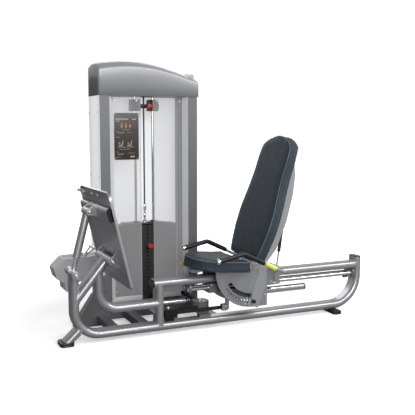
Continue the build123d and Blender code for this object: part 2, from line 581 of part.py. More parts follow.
def back_outline():
    """Back pad seen from the front: widest low down, waisted above, round on top."""
    right = [(w, s) for s, w in HALF_WIDTHS]
    left = [(-w, s) for s, w in HALF_WIDTHS]
    side = Spline(*right)
    top = ThreePointArc(right[-1], (0, 836), left[-1])
    other = Spline(*reversed(left))
    foot = ThreePointArc(left[0], (0, -24), right[0])
    return make_face(side + top + other + foot)


back_plane = Plane(origin=(BACK_FRONT[0] + UP[1] * PAD_THICK, SPINE_Y, BACK_FRONT[1] - UP[0] * PAD_THICK),
                   x_dir=(0, 1, 0), z_dir=(-UP[1], 0, UP[0]))
back_pad = extrude(back_plane * Rot(0, 0, 180) * back_outline(), PAD_THICK)
parts["back_pad"] = [back_pad]

pin_y = SPINE_Y - SEAT_PLATE_Y
pop_pin = rod_y(pin_x, pin_z, pin_y - 36, pin_y + 2.5, 5.0)
pop_pin += rod_y(pin_x, pin_z, pin_y - 50, pin_y - 24, 12.0)
parts["recline_pin"] = [pop_pin]

# Gas spring: rod on the seat frame, cylinder towards the back frame.
spring_axis = Vector(SPRING_TOP[0] - SPRING_LOW[0], 0, SPRING_TOP[1] - SPRING_LOW[1])
spring_length = spring_axis.length
spring_dir = spring_axis.normalized()
spring_y = SPINE_Y - 80.0
low = Vector(SPRING_LOW[0], spring_y, SPRING_LOW[1])
spring_eye = rod_y(SPRING_LOW[0], SPRING_LOW[1], spring_y - 6, spring_y + 6, 9.0)
spring_eye += rod(low + spring_dir * 6, low + spring_dir * 272, 5.0)
spring_eye -= rod_y(SPRING_LOW[0], SPRING_LOW[1], spring_y - 8, spring_y + 8, 5.0 + CLEAR)
parts["gas_spring_rod"] = [spring_eye]
cylinder_start = low + spring_dir * 214
cylinder_end = low + spring_dir * (spring_length - 8)
cylinder = rod(cylinder_start, cylinder_end, 11.0)
cylinder -= rod(cylinder_start - spring_dir, cylinder_end - spring_dir * 14, 5.0 + CLEAR)
eye = rod_y(SPRING_TOP[0], SPRING_TOP[1], spring_y - 6, spring_y + 6, 13.0)
cylinder = cylinder + eye - rod_y(SPRING_TOP[0], SPRING_TOP[1], spring_y - 8, spring_y + 12, 7.0)
parts["gas_spring_cylinder"] = [cylinder]

# ---- footplate ------------------------------------------------------------------------------
plate_span = Vector(PLATE_TOP[0] - PLATE_BOTTOM[0], 0, PLATE_TOP[1] - PLATE_BOTTOM[1])
plate_tall = plate_span.length
plate_up = plate_span.normalized()
plate_out = Vector(plate_up.Z, 0, -plate_up.X)
plate_mid = Vector((PLATE_TOP[0] + PLATE_BOTTOM[0]) / 2, SPINE_Y, (PLATE_TOP[1] + PLATE_BOTTOM[1]) / 2)
SHEET = 4.0
RIM = 15.0
TOP_CORNER_R, LOW_CORNER_R = 52.0, 20.0
BAND_UP, BAND_TALL = 27.0, 46.0


def plate_plane(offset):
    """Drawing plane of the footplate: local x across the machine, local y up the plate."""
    return Plane(origin=plate_mid + plate_out * offset, x_dir=(0, 1, 0), z_dir=plate_out)


def tray_outline(shrink):
    wide, tall = PLATE_WIDTH / 2 - shrink, plate_tall / 2 - shrink
    top_r, low_r = TOP_CORNER_R - shrink, LOW_CORNER_R - shrink * 0.5
    corners = [(-wide, -tall), (wide, -tall), (wide, tall), (-wide, tall)]
    return make_face(FilletPolyline(*corners, radius=[low_r, low_r, top_r, top_r], close=True))


sheet = extrude(plate_plane(-SHEET) * tray_outline(0), SHEET)
rim = extrude(plate_plane(-RIM) * (tray_outline(0) - tray_outline(5)), RIM - SHEET)
at_band = Pos(0, BAND_UP - plate_tall / 2)
band_outside = tray_outline(4) & at_band * Rectangle(700, BAND_TALL)
band_room = tray_outline(8) & at_band * Rectangle(700, BAND_TALL - 10)
low_band = extrude(plate_plane(-RIM) * band_outside, RIM - SHEET)
low_band -= extrude(plate_plane(-RIM + 4) * band_room, RIM)
footplate = sheet + rim + low_band


def plate_local(x, z):
    """Height up the plate and distance behind its user face of a point in X-Z."""
    delta = Vector(x - plate_mid.X, 0, z - plate_mid.Z)
    return delta.dot(plate_up), delta.dot(plate_out)


link_up, link_back = plate_local(LINK_TOP_X, LINK_TOP_Z)
tilt_up, tilt_back = plate_local(TILT_X, TILT_Z)
BAR_TALL, BAR_DEEP, BAR_HALF = 84.0, 36.0, 288.0
BAR_DROP = 10.0
bar_middle = plate_mid + plate_up * (link_up - BAR_DROP) - plate_out * (SHEET + BAR_DEEP / 2)
bar_plane = Plane(origin=bar_middle - Vector(0, BAR_HALF, 0), x_dir=plate_up, z_dir=(0, 1, 0))
bar_ring = SlotOverall(BAR_TALL, BAR_DEEP) - SlotOverall(BAR_TALL - 5, BAR_DEEP - 5)
crossbar = extrude(bar_plane * bar_ring, 2 * BAR_HALF)
bar_outside = extrude(bar_plane * SlotOverall(BAR_TALL, BAR_DEEP), 2 * BAR_HALF)
lugs = []
for s in (-1, 1):
    link_lug = polygon([(LINK_TOP_X - 16, LINK_TOP_Z - 8), (LINK_TOP_X - 12, LINK_TOP_Z + 16),
                        (LINK_TOP_X + 42, LINK_TOP_Z + 52), (LINK_TOP_X + 74, LINK_TOP_Z + 30),
                        (LINK_TOP_X + 84, LINK_TOP_Z - 36), (LINK_TOP_X + 4, LINK_TOP_Z - 18)])
    link_lug = link_lug - Pos(LINK_TOP_X, LINK_TOP_Z) * Circle(8.0)
    lugs.append(plate(link_lug, SPINE_Y + s * 60, 8) - bar_outside)
    tilt_lug = polygon([(TILT_X - 24, TILT_Z - 10), (TILT_X - 18, TILT_Z + 20), (TILT_X + 40, TILT_Z + 70),
                        (TILT_X + 70, TILT_Z - 60), (TILT_X, TILT_Z - 26)])
    tilt_lug = tilt_lug - Pos(TILT_X, TILT_Z) * Circle(8.0 + CLEAR)
    lugs.append(plate(tilt_lug, SPINE_Y + s * 148.5, 9))
behind_sheet = extrude(plate_plane(-SHEET) * Rectangle(900, 900), -200)
lugs = [lug_solid & behind_sheet for lug_solid in lugs]
footplate_solid = footplate + crossbar
for lug_solid in lugs:
    footplate_solid += lug_solid
RELEASE_UP = plate_tall / 2 - 27
release_line = plate_mid + plate_up * RELEASE_UP - plate_out * (RIM + 12)
release_guide = extrude(plate_plane(-SHEET) * Pos(226, RELEASE_UP) * Rectangle(14, 26), -(RIM + 18 - SHEET))
release_guide -= rod(release_line + Vector(0, 200, 0), release_line + Vector(0, 250, 0), 4.0 + CLEAR)
footplate_solid += release_guide
grip_rod = rod(release_line + Vector(0, 196, 0), release_line + Vector(0, 276, 0), 4.0)
grip_rod += rod(release_line + Vector(0, 196, 0), release_line + Vector(0, 204, 0), 7.0)
grip_rod += fillet(rod(release_line + Vector(0, 262, 0), release_line + Vector(0, 316, 0), 9.0).edges(), 3)
parts["plate_release"] = [grip_rod]
link_shaft = rod_y(LINK_TOP_X, LINK_TOP_Z, SPINE_Y - 64, SPINE_Y + 64, 8.0)
for s in (-1, 1):
    face = SPINE_Y + s * 64
    link_shaft += rod_y(LINK_TOP_X, LINK_TOP_Z, face, face + s * 4, 19.0)
    link_shaft += rod_y(LINK_TOP_X, LINK_TOP_Z, face + s * 4, face + s * 11, 11.0)
parts["footplate"] = [footplate_solid, link_shaft]
bar_caps = []
for s in (-1, 1):
    cap_plane = Plane(origin=bar_middle + Vector(0, s * BAR_HALF, 0), x_dir=plate_up, z_dir=(0, s, 0))
    flange = extrude(cap_plane * SlotOverall(BAR_TALL, BAR_DEEP), 5)
    bar_caps.append(flange + extrude(cap_plane * SlotOverall(BAR_TALL - 5.6, BAR_DEEP - 5.6), -12))
parts["crossbar_caps"] = bar_caps
mat_shape = Rectangle(PLATE_WIDTH - 44, plate_tall - 44)
foot_mat = extrude(plate_plane(0) * fillet(mat_shape.vertices(), 40), 5)
parts["foot_mat"] = [foot_mat]

# Tilt link: a rod on the left post, a sleeve that slides on it, and a lock lever on the sleeve.
hub = Vector(HUB_X, SPINE_Y, HUB_Z)
link_top = Vector(LINK_TOP_X, SPINE_Y, LINK_TOP_Z)
link_dir = (link_top - hub).normalized()
link_length = (link_top - hub).length
tilt_rod = rod_y(HUB_X, HUB_Z, SPINE_Y - 29, SPINE_Y + 29, 24.0)
tilt_rod += rod(hub + link_dir * 18, hub + link_dir * 250, 16.0)
tilt_rod -= rod_y(HUB_X, HUB_Z, SPINE_Y - 40, SPINE_Y + 40, 8.0 + CLEAR)
parts["tilt_rod"] = [tilt_rod]
tilt_sleeve = rod(hub + link_dir * 96, hub + link_dir * (link_length - 16), 24.0)
tilt_sleeve -= rod(hub + link_dir * 95, hub + link_dir * 330, 16.0 + CLEAR)
tilt_sleeve += rod_y(LINK_TOP_X, LINK_TOP_Z, SPINE_Y - 52, SPINE_Y + 52, 23.0)
tilt_sleeve -= rod_y(LINK_TOP_X, LINK_TOP_Z, SPINE_Y - 60, SPINE_Y + 60, 9.6)
parts["tilt_sleeve"] = [tilt_sleeve]
LOCK = hub + link_dir * 112 + Vector(46, 0, -6)
lock_shape = polygon([(LOCK.X - 40, LOCK.Z + 26), (LOCK.X - 36, LOCK.Z - 4), (LOCK.X + 10, LOCK.Z - 10),
                      (LOCK.X + 10, LOCK.Z + 10)])
lock_bracket = plate(lock_shape, SPINE_Y, 8)
lock_bracket -= rod(hub + link_dir * 80, hub + link_dir * 330, 24.0)
lock_bracket -= rod_y(LOCK.X, LOCK.Z, SPINE_Y - 20, SPINE_Y + 20, 4.0)
parts["tilt_sleeve"].append(lock_bracket)
GRIP = LOCK + Vector(50, 0, 46)
lock_lever = rod(GRIP + Vector(0, -56, 0), GRIP + Vector(0, 56, 0), 8.0)
for side in (-1, 1):
    lock_lever += rod(LOCK + Vector(0, side * 9.5, 0), GRIP + Vector(0, side * 42, 0), 4.5)
    lock_lever += rod_y(LOCK.X, LOCK.Z, SPINE_Y + side * 5, SPINE_Y + side * 14, 11.0)
lock_lever += rod_y(LOCK.X, LOCK.Z, SPINE_Y - 15, SPINE_Y + 15, 4.0 - CLEAR)
parts["tilt_lock_lever"] = [lock_lever]

# ---- tower ----------------------------------------------------------------------------------
LEFT, RIGHT = TOWER_X - TOWER_HALF, TOWER_X + TOWER_HALF
BEAM = 60.0


def box_tube_z(x0, x1, y0, y1, z0, z1):
    return block(x0, x1, y0, y1, z0, z1) - block(x0 + 3, x1 - 3, y0 + 3, y1 - 3, z0 - 1, z1 + 1)


base = None
for x0 in (LEFT, RIGHT - COLUMN_WIDE):
    side_beam = block(x0, x0 + COLUMN_WIDE, TOWER_FRONT, TOWER_REAR, FOOT_TALL, FOOT_TALL + BEAM)
    base = side_beam if base is None else base + side_beam
for y0 in (TOWER_FRONT, TOWER_REAR - COLUMN_DEEP):
    base += block(LEFT, RIGHT, y0, y0 + COLUMN_DEEP, FOOT_TALL, FOOT_TALL + BEAM)
base += block(LEFT + 100, RIGHT - 130, STACK_Y - 60, STACK_Y + 60, FOOT_TALL, FOOT_TALL + BEAM)
base += block(LEFT + 60, RIGHT - 60, STACK_Y - 25, STACK_Y + 25, FOOT_TALL, FOOT_TALL + BEAM)
EAR_HOLE_R = 6.5
EAR_X = (LEFT - 24, RIGHT + 24)
EAR_PLATE_Y = TOWER_REAR - 40
for x, inner in ((EAR_X[0], LEFT + 5), (EAR_X[1], RIGHT - 5)):
    x0, x1 = sorted((x + (-24 if x < inner else 24), inner))
    base += block(x0, x1, EAR_PLATE_Y - 26, EAR_PLATE_Y + 26, FOOT_TALL, FOOT_TALL + 8)
for x in EAR_X:
    base -= rod((x, EAR_PLATE_Y, 0), (x, EAR_PLATE_Y, 60), EAR_HOLE_R)
for s in (-1, 1):
    rod_x = TOWER_X + s * STACK_ROD_OFFSET
    base -= rod((rod_x, STACK_Y, 40), (rod_x, STACK_Y, 200), STACK_ROD_R)
parts["tower_base"] = [base]

columns = []
for x0 in (LEFT, RIGHT - COLUMN_WIDE):
    for y0 in (TOWER_FRONT, TOWER_REAR - COLUMN_DEEP):
        columns.append(box_tube_z(x0, x0 + COLUMN_WIDE, y0, y0 + COLUMN_DEEP, FOOT_TALL + BEAM, COLUMN_TOP))
top_frame = None
for y0 in (TOWER_FRONT, TOWER_REAR - COLUMN_DEEP):
    beam_solid = block(LEFT, RIGHT, y0, y0 + COLUMN_DEEP, COLUMN_TOP, COLUMN_TOP + 30)
    top_frame = beam_solid if top_frame is None else top_frame + beam_solid
for x0 in (LEFT, RIGHT - COLUMN_WIDE):
    top_frame += block(x0, x0 + COLUMN_WIDE, TOWER_FRONT, TOWER_REAR, COLUMN_TOP, COLUMN_TOP + 30)
for y in (STACK_Y - 26, STACK_Y + 26):
    top_frame += block(LEFT + 20, RIGHT - 70, y - 5, y + 5, COLUMN_TOP, COLUMN_TOP + 88)
for y in (STACK_Y - 45, STACK_Y + 45):
    top_frame += block(LEFT + 20, RIGHT - 20, y - 15, y + 15, COLUMN_TOP, COLUMN_TOP + 8)
for x in (TOP_LEFT_X, TOP_RIGHT_X):
    top_frame += rod_y(x, TOP_PULLEY_Z, STACK_Y - 31, STACK_Y + 31, AXLE_R)
for s in (-1, 1):
    x = TOWER_X + s * STACK_ROD_OFFSET
    top_frame += block(x - 18, x + 18, STACK_Y - 22, STACK_Y + 22, COLUMN_TOP, COLUMN_TOP + 10)
    top_frame -= rod((x, STACK_Y, COLUMN_TOP - 5), (x, STACK_Y, COLUMN_TOP + 10), STACK_ROD_R)
parts["tower_frame"] = columns + [top_frame]

# Two long folds close the step between the front columns and the recessed panels.
SHROUD_Z = 152.0
FOLD = 34.0
FOLD_THICK = 3.0
folds = []
for column_edge, inward in ((LEFT + COLUMN_WIDE, 1), (RIGHT - COLUMN_WIDE, -1)):
    fold_plan = polygon([(column_edge, TOWER_FRONT + 2), (column_edge + inward * FOLD, TOWER_FRONT + SHROUD_RECESS),
                         (column_edge + inward * FOLD, TOWER_FRONT + SHROUD_RECESS + FOLD_THICK),
                         (column_edge, TOWER_FRONT + 2 + 1.5 * FOLD_THICK)])
    folds.append(extrude(Plane.XY.offset(SHROUD_Z) * fold_plan, COLUMN_TOP - SHROUD_Z))
parts["tower_frame"] += folds
kick_plate = block(LEFT + COLUMN_WIDE, RIGHT - COLUMN_WIDE, TOWER_REAR - 12, TOWER_REAR - 8, FOOT_TALL + BEAM, SHROUD_Z)
parts["tower_frame"].append(kick_plate)

# Cap: a shell whose arch is highest left of the middle and whose top is crowned front to rear.
CAP_LAP = 14.0
CAP_WALL = 5.0
CAP_ENDS = (1680.0, 1604.0)
CAP_ARCH = ((-244, 1698.0), (-102, 1705.0), (43, 1692.0), (192, 1658.0))
CAP_CROWN = 42.0
CAP_REAR_RISE = 22.0


def cap_outline(y, rise, shrink):
    """Section of the cap at one depth: its arch raised by rise and the whole drawn in by shrink."""
    left, right = LEFT - CAP_LAP + shrink, RIGHT + CAP_LAP - shrink
    lift = rise - shrink
    top_left, top_right = (left, CAP_ENDS[0] + lift), (right, CAP_ENDS[1] + lift)
    arch = Spline(top_left, *[(TOWER_X + x, z + lift) for x, z in CAP_ARCH], top_right)
    sides = Polyline(top_right, (right, COLUMN_TOP), (left, COLUMN_TOP), top_left)
    return side_plane(y) * make_face(arch + sides)


def cap_form(shrink):
    middle = (TOWER_FRONT + TOWER_REAR) / 2
    return loft([cap_outline(TOWER_FRONT + shrink, 0, shrink), cap_outline(middle, CAP_CROWN, shrink),
                 cap_outline(TOWER_REAR - shrink, CAP_REAR_RISE, shrink)])


cap_hump = block(RIGHT - 63, RIGHT + 10, 300, 400, COLUMN_TOP + 30, 1668)
cap_room = block(LEFT, RIGHT, TOWER_FRONT, TOWER_REAR, COLUMN_TOP - 1, COLUMN_TOP + 30)
parts["tower_cap"] = [cap_form(0) + cap_hump - cap_form(CAP_WALL) - cap_room]

# Panels: two translucent front shrouds with a gap for the pin, sides, and the rear.
GAP = 84.0
PANEL_THICK = 4.0
shrouds = []
panel_y = TOWER_FRONT + SHROUD_RECESS
for x0, x1 in ((LEFT + COLUMN_WIDE + FOLD, TOWER_X - GAP / 2), (TOWER_X + GAP / 2, RIGHT - COLUMN_WIDE - FOLD)):
    panel = block(x0, x1, panel_y, panel_y + PANEL_THICK, SHROUD_Z, COLUMN_TOP)
    edge_x = x1 - PANEL_THICK if x1 < TOWER_X else x0
    panel += block(edge_x, edge_x + PANEL_THICK, panel_y, panel_y + 18, SHROUD_Z, COLUMN_TOP)
    shrouds.append(panel)
parts["front_shrouds"] = shrouds
panel_low = FOOT_TALL + BEAM
side_panels = []
for x0 in (LEFT - PANEL_THICK, RIGHT):
    side_panels.append(block(x0, x0 + PANEL_THICK, TOWER_FRONT + 2, TOWER_REAR - 2, panel_low, COLUMN_TOP))
rear_y = TOWER_REAR - 12
rear_panel = block(LEFT + COLUMN_WIDE, RIGHT - COLUMN_WIDE, rear_y, rear_y + PANEL_THICK, SHROUD_Z, COLUMN_TOP)
parts["tower_panels"] = side_panels + [rear_panel]
PLACARD_X, PLACARD_WIDE = LEFT + 106, 172.0
parts["placard"] = [block(PLACARD_X, PLACARD_X + PLACARD_WIDE, panel_y - 3, panel_y, 1086, 1398)]

# Left foot of the tower: a tapered box out towards the footplate end.
foot_shape = polygon([(-908, 0), (-683, 0), (-683, 212), (-778, 212), (-908, 22)])
left_foot = plate(foot_shape, 190, 70)
left_foot = left_foot - block(LEFT - 1, LEFT + 80, TOWER_FRONT, TOWER_REAR, 0, 300)
parts["tower_left_foot"] = [left_foot]
cross_low = block(-560, -500, SPINE_Y, TOWER_FRONT, 22, 72) - loop_outside
cross_low_b = block(-60, -18, SPINE_Y, TOWER_FRONT, 22, 72) - loop_outside
cross_foot = block(-760, -700, SPINE_Y, 155, 30, 70) - loop_outside
parts["cross_beams"] = [cross_low, cross_low_b, cross_foot]

# Moulded tray housing on the tower's left, behind the left post.
tray_corners = [(-1012, 330), (-1030, 395), (-960, 462), (-700, 468), (-690, 330), (-880, 300),
                (-905, 240), (-960, 245), (-965, 300)]
tray_shape = FilletPolyline(*tray_corners, radius=[18, 20, 38, 20, 8, 20, 14, 14, 12], close=True)
tray_face = make_face(tray_shape)
tray = extrude(side_plane(256) * tray_face, amount=76, both=True)
tray -= block(-960, -720, 195, 318, 420, 480)
tray -= block(LEFT - PANEL_THICK, LEFT + 100, TOWER_FRONT, TOWER_REAR, 0, 1000)
parts["tray_housing"] = [tray]

# ---- weight stack ---------------------------------------------------------------------------
stack_rods_x = [TOWER_X - STACK_ROD_OFFSET, TOWER_X + STACK_ROD_OFFSET]
guide_rods = [rod((x, STACK_Y, 52), (x, STACK_Y, COLUMN_TOP + 8), STACK_ROD_R) for x in stack_rods_x]
parts["stack_guide_rods"] = guide_rods
cushions = []
for x in stack_rods_x:
    cushion = rod((x, STACK_Y, FOOT_TALL + BEAM), (x, STACK_Y, STACK_Z - 0.4), 22.0)
    cushions.append(cushion - rod((x, STACK_Y, 60), (x, STACK_Y, 160), STACK_ROD_R + 0.05))
parts["stack_cushions"] = cushions


def weight_plate(index):
    z0 = STACK_Z + index * PLATE_PITCH
    slab = block(TOWER_X - PLATE_HALF, TOWER_X + PLATE_HALF, STACK_Y - 60, STACK_Y + 60, z0, z0 + PLATE_TALL)
    slab = chamfer(slab.edges().filter_by(Axis.Z), 8)
    for x in stack_rods_x:
        slab -= rod((x, STACK_Y, z0 - 1), (x, STACK_Y, z0 + 40), STACK_ROD_R + 1.0)
    slab -= rod((TOWER_X, STACK_Y, z0 - 1), (TOWER_X, STACK_Y, z0 + 40), 13.5)
    slab -= rod_y(TOWER_X, z0 + PLATE_TALL / 2, STACK_Y - 61, STACK_Y, 5.5)
    return slab


parts["resting_plates"] = [weight_plate(i) for i in range(RESTING_PLATES)]
parts["lifted_plates"] = [weight_plate(i) for i in range(RESTING_PLATES, RESTING_PLATES + LIFTED_PLATES)]
HEAD_TOP = STACK_Z + (RESTING_PLATES + LIFTED_PLATES) * PLATE_PITCH
HOOK_TOP = HEAD_TOP + 117


def stem_rod(z0, z1, radius):
    """Round bar on the axis of the selector stem."""
    return rod((TOWER_X, STACK_Y, z0), (TOWER_X, STACK_Y, z1), radius)


stem = stem_rod(STACK_Z + 4, HEAD_TOP + 30, 12.0)
for i in range(RESTING_PLATES + LIFTED_PLATES):
    stem -= rod_y(TOWER_X, STACK_Z + i * PLATE_PITCH + PLATE_TALL / 2, STACK_Y - 20, STACK_Y + 20, 5.5)
collar = stem_rod(HEAD_TOP - 0.4, HEAD_TOP + 16, 22.0)
hook = stem_rod(HEAD_TOP + 28, HOOK_TOP, 7.0) + stem_rod(HOOK_TOP - 22, HOOK_TOP, 11.0)
parts["selector_stem"] = [stem + collar + hook]
PIN_Z = STACK_Z + RESTING_PLATES * PLATE_PITCH + PLATE_TALL / 2
KNOB_FRONT, KNOB_REAR = TOWER_FRONT - 9, TOWER_FRONT + 33
pin = rod_y(TOWER_X, PIN_Z, KNOB_REAR - 8, STACK_Y + 11, 5.0)
knob = rod_y(TOWER_X, PIN_Z, KNOB_FRONT, KNOB_REAR, 16.5)
parts["selector_pin"] = [pin + knob]
strand_x0, strand_x1 = TOWER_X - half_thick, TOWER_X + half_thick
parts["lift_strand"] = [block(strand_x0, strand_x1, STACK_Y - 5, STACK_Y + 5, HOOK_TOP, TOP_PULLEY_Z)]

ADD_Z0, ADD_Z1 = 1413.0, 1490.0
add_on = None
for x in stack_rods_x:
    weight = block(x - 31, x + 31, STACK_Y - 34, STACK_Y + 34, ADD_Z0, ADD_Z1)
    weight -= rod((x, STACK_Y, 1300), (x, STACK_Y, 1600), STACK_ROD_R + 1.0)
    add_on = weight if add_on is None else add_on + weight
add_on += block(TOWER_X - 95, TOWER_X + 95, STACK_Y - 46, STACK_Y - 34, ADD_Z0 + 18, ADD_Z0 + 46)
add_on += rod_y(TOWER_X, ADD_Z0 + 32, KNOB_REAR - 8, STACK_Y - 46, 7.0)
add_on += rod_y(TOWER_X, ADD_Z0 + 32, KNOB_FRONT + 4, KNOB_REAR, 15.0)
parts["add_on_weight"] = [add_on]

os.makedirs("parts", exist_ok=True)
for name, solids in parts.items():
    shape = solids[0] if len(solids) == 1 else Compound(children=solids)
    shape.label = name
    export_step(shape, f"parts/{name}.step")
print(len(parts), "nodes")
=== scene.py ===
import bmesh
import bpy
import json
import math
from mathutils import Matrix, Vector
from mathutils.bvhtree import BVHTree


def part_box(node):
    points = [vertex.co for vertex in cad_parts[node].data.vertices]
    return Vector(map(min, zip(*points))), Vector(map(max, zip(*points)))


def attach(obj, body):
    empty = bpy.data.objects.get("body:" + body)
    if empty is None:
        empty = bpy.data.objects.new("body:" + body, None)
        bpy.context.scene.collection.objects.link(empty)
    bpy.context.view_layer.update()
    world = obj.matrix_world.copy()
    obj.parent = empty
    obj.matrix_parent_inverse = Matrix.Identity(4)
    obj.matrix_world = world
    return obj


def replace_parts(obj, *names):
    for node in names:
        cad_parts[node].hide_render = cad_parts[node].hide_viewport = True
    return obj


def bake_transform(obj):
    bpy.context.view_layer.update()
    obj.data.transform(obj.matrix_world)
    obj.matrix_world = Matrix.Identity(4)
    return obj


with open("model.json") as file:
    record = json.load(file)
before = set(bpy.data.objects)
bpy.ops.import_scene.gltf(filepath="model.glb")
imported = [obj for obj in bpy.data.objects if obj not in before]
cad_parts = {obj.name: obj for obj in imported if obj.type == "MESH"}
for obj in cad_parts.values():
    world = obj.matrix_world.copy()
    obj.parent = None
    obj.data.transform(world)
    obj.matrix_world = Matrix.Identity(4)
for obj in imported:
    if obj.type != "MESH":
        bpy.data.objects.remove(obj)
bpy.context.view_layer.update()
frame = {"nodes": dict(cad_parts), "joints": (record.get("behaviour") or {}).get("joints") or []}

# Looks of a seated leg press. Metres; +X along the rail towards the rear post, +Y towards the tower, +Z up.

NODES = frame["nodes"]
X, Y, Z = Vector((1, 0, 0)), Vector((0, 1, 0)), Vector((0, 0, 1))
SPINE = -0.160                                              # middle plane of the main frame
TUBE_W, TUBE_D = 0.1016, 0.0508                             # flat-oval frame tube, width and depth
WELD_STEPS = 64
FLOOR_SEEN, FLOOR_MIRRORED, FLOOR_GLOW = 0.9, 0.22, 0.42    # floor brightness to the camera and in the metal
FLOOR_NEAR, FLOOR_FAR = 1.2, 3.0                            # the floor's glow grows between these distances


# ---- finishes -------------------------------------------------------------------------------
def srgb(*levels):
    """Linear colour from 0-255 display levels."""
    return tuple(((v / 255 + 0.055) / 1.055) ** 2.4 if v > 10 else v / 255 / 12.92 for v in levels)


class Finish:
    """A node material with the node chains that finishes share. Patterns follow the object's space."""

    def __init__(self, name, color, rough, metallic=0.0, coat=0.0):
        self.mat = bpy.data.materials.new(name)
        self.mat.use_nodes = True
        self.tree = self.mat.node_tree
        self.bsdf = self.tree.nodes["Principled BSDF"]
        self.where = self.node("ShaderNodeTexCoord").outputs["Object"]
        self.color = self.node("ShaderNodeRGB").outputs[0]
        self.color.default_value = (*color, 1)
        self.rough = self.calc("ADD", rough, 0.0)
        self.normal = None
        self.bsdf.inputs["Metallic"].default_value = metallic
        self.bsdf.inputs["Coat Weight"].default_value = coat
        self.bsdf.inputs["Coat Roughness"].default_value = 0.12
        self.mat.diffuse_color = (*color, 1)

    def node(self, kind, **inputs):
        made = self.tree.nodes.new(kind)
        for key, value in inputs.items():
            self.plug(made.inputs[key.replace("_", " ")], value)
        return made

    def plug(self, socket, value):
        if isinstance(value, bpy.types.NodeSocket):
            self.tree.links.new(value, socket)
        else:
            socket.default_value = value

    def noise(self, scale, detail=2.0):
        return self.node("ShaderNodeTexNoise", Vector=self.where, Scale=scale, Detail=detail).outputs["Fac"]

    def cells(self, scale, feature="F1"):
        made = self.node("ShaderNodeTexVoronoi", Vector=self.where, Scale=scale)
        made.feature = feature
        return made.outputs["Distance"]

    def calc(self, operation, a, b):
        made = self.node("ShaderNodeMath")
        made.operation = operation
        self.plug(made.inputs[0], a)
        self.plug(made.inputs[1], b)
        return made.outputs["Value"]

    def remap(self, value, low, high, to_low, to_high):
        made = self.node("ShaderNodeMapRange")
        for socket, setting in zip(made.inputs, (value, low, high, to_low, to_high)):
            self.plug(socket, setting)
        return made.outputs["Result"]

    def tint(self, mask, color):
        made = self.node("ShaderNodeMix")
        made.data_type = "RGBA"
        sockets = [s for s in made.inputs if s.type == "RGBA"]
        self.plug(made.inputs["Factor"], mask)
        self.plug(sockets[0], self.color)
        self.plug(sockets[1], (*color, 1) if isinstance(color, tuple) else color)
        self.color = [s for s in made.outputs if s.type == "RGBA"][0]
        return self

    def vary(self, scale, color, amount, detail=3.0):
        """Patches of a second colour, from soft noise."""
        return self.tint(self.remap(self.noise(scale, detail), 0.35, 0.7, 0.0, amount), color)

    def vary_rough(self, scale, low, high):
        self.rough = self.remap(self.noise(scale, 3.0), 0.3, 0.7, low, high)
        return self

    def bump(self, height, distance, strength=1.0):
        made = self.node("ShaderNodeBump", Height=height, Distance=distance, Strength=strength)
        if self.normal is not None:
            self.plug(made.inputs["Normal"], self.normal)
        self.normal = made.outputs["Normal"]
        return self

    def soft_edges(self, radius):
        """Rounds hard CAD edges in the shading and returns a mask that is 1 on them."""
        bevel = self.node("ShaderNodeBevel", Radius=radius)
        bevel.samples = 4
        self.normal = bevel.outputs["Normal"]
        facing = self.node("ShaderNodeVectorMath")
        facing.operation = "DOT_PRODUCT"
        self.plug(facing.inputs[0], self.normal)
        self.plug(facing.inputs[1], self.node("ShaderNodeNewGeometry").outputs["Normal"])
        return self.remap(facing.outputs["Value"], 0.985, 0.86, 0.0, 1.0)

    def worn(self, edge_mask, color, amount, scale=45.0):
        """Rubbed patches along the edges."""
        patches = self.remap(self.noise(scale, 5.0), 0.42, 0.62, 0.0, amount)
        return self.tint(self.calc("MULTIPLY", edge_mask, patches), color)

    def speckle(self, scale, color, amount, share=0.16):
        dots = self.remap(self.cells(scale), share, share * 0.5, 0.0, amount)
        return self.tint(dots, color)

    def done(self):
        self.plug(self.bsdf.inputs["Base Color"], self.color)
        self.plug(self.bsdf.inputs["Roughness"], self.rough)
        if self.normal is not None:
            self.plug(self.bsdf.inputs["Normal"], self.normal)
        return self.mat


def painted(name, color, metallic, rough, edge=0.0015):
    """Sprayed metallic paint: flakes, orange peel, a little wear on the corners."""
    made = Finish(name, color, rough, metallic, coat=0.2)
    mask = made.soft_edges(edge)
    made.vary(5.0, tuple(c * 0.93 for c in color), 0.5)
    made.speckle(1400.0, tuple(min(1.0, c * 1.3) for c in color), 0.25)
    made.worn(mask, tuple(min(1.0, c * 1.5 + 0.06) for c in color), 0.45)
    made.vary_rough(14.0, rough * 0.94, rough * 1.06)
    return made.bump(made.noise(420.0, 1.0), 0.00002, 0.5).done()


def bright(name, color, rough):
    """Polished or plated metal with fine wiping marks."""
    made = Finish(name, color, rough, 1.0)
    made.soft_edges(0.0008)
    made.vary(9.0, tuple(c * 0.8 for c in color), 0.4)
    made.vary_rough(160.0, rough * 0.6, rough * 1.6)
    return made.bump(made.noise(700.0, 2.0), 0.00003, 0.4).done()


def moulded(name, color, rough, grain=900.0, depth=0.00018, pale=0.06):
    """Textured plastic or rubber: fine spark-eroded grain, scuffed pale on its edges."""
    made = Finish(name, color, rough)
    mask = made.soft_edges(0.0012)
    made.vary(12.0, tuple(c * 0.75 for c in color), 0.6)
    made.worn(mask, tuple(min(1.0, c * 1.3 + pale) for c in color), 0.55)
    made.vary_rough(30.0, rough * 0.85, min(1.0, rough * 1.15))
    return made.bump(made.cells(grain), depth, 0.6).done()


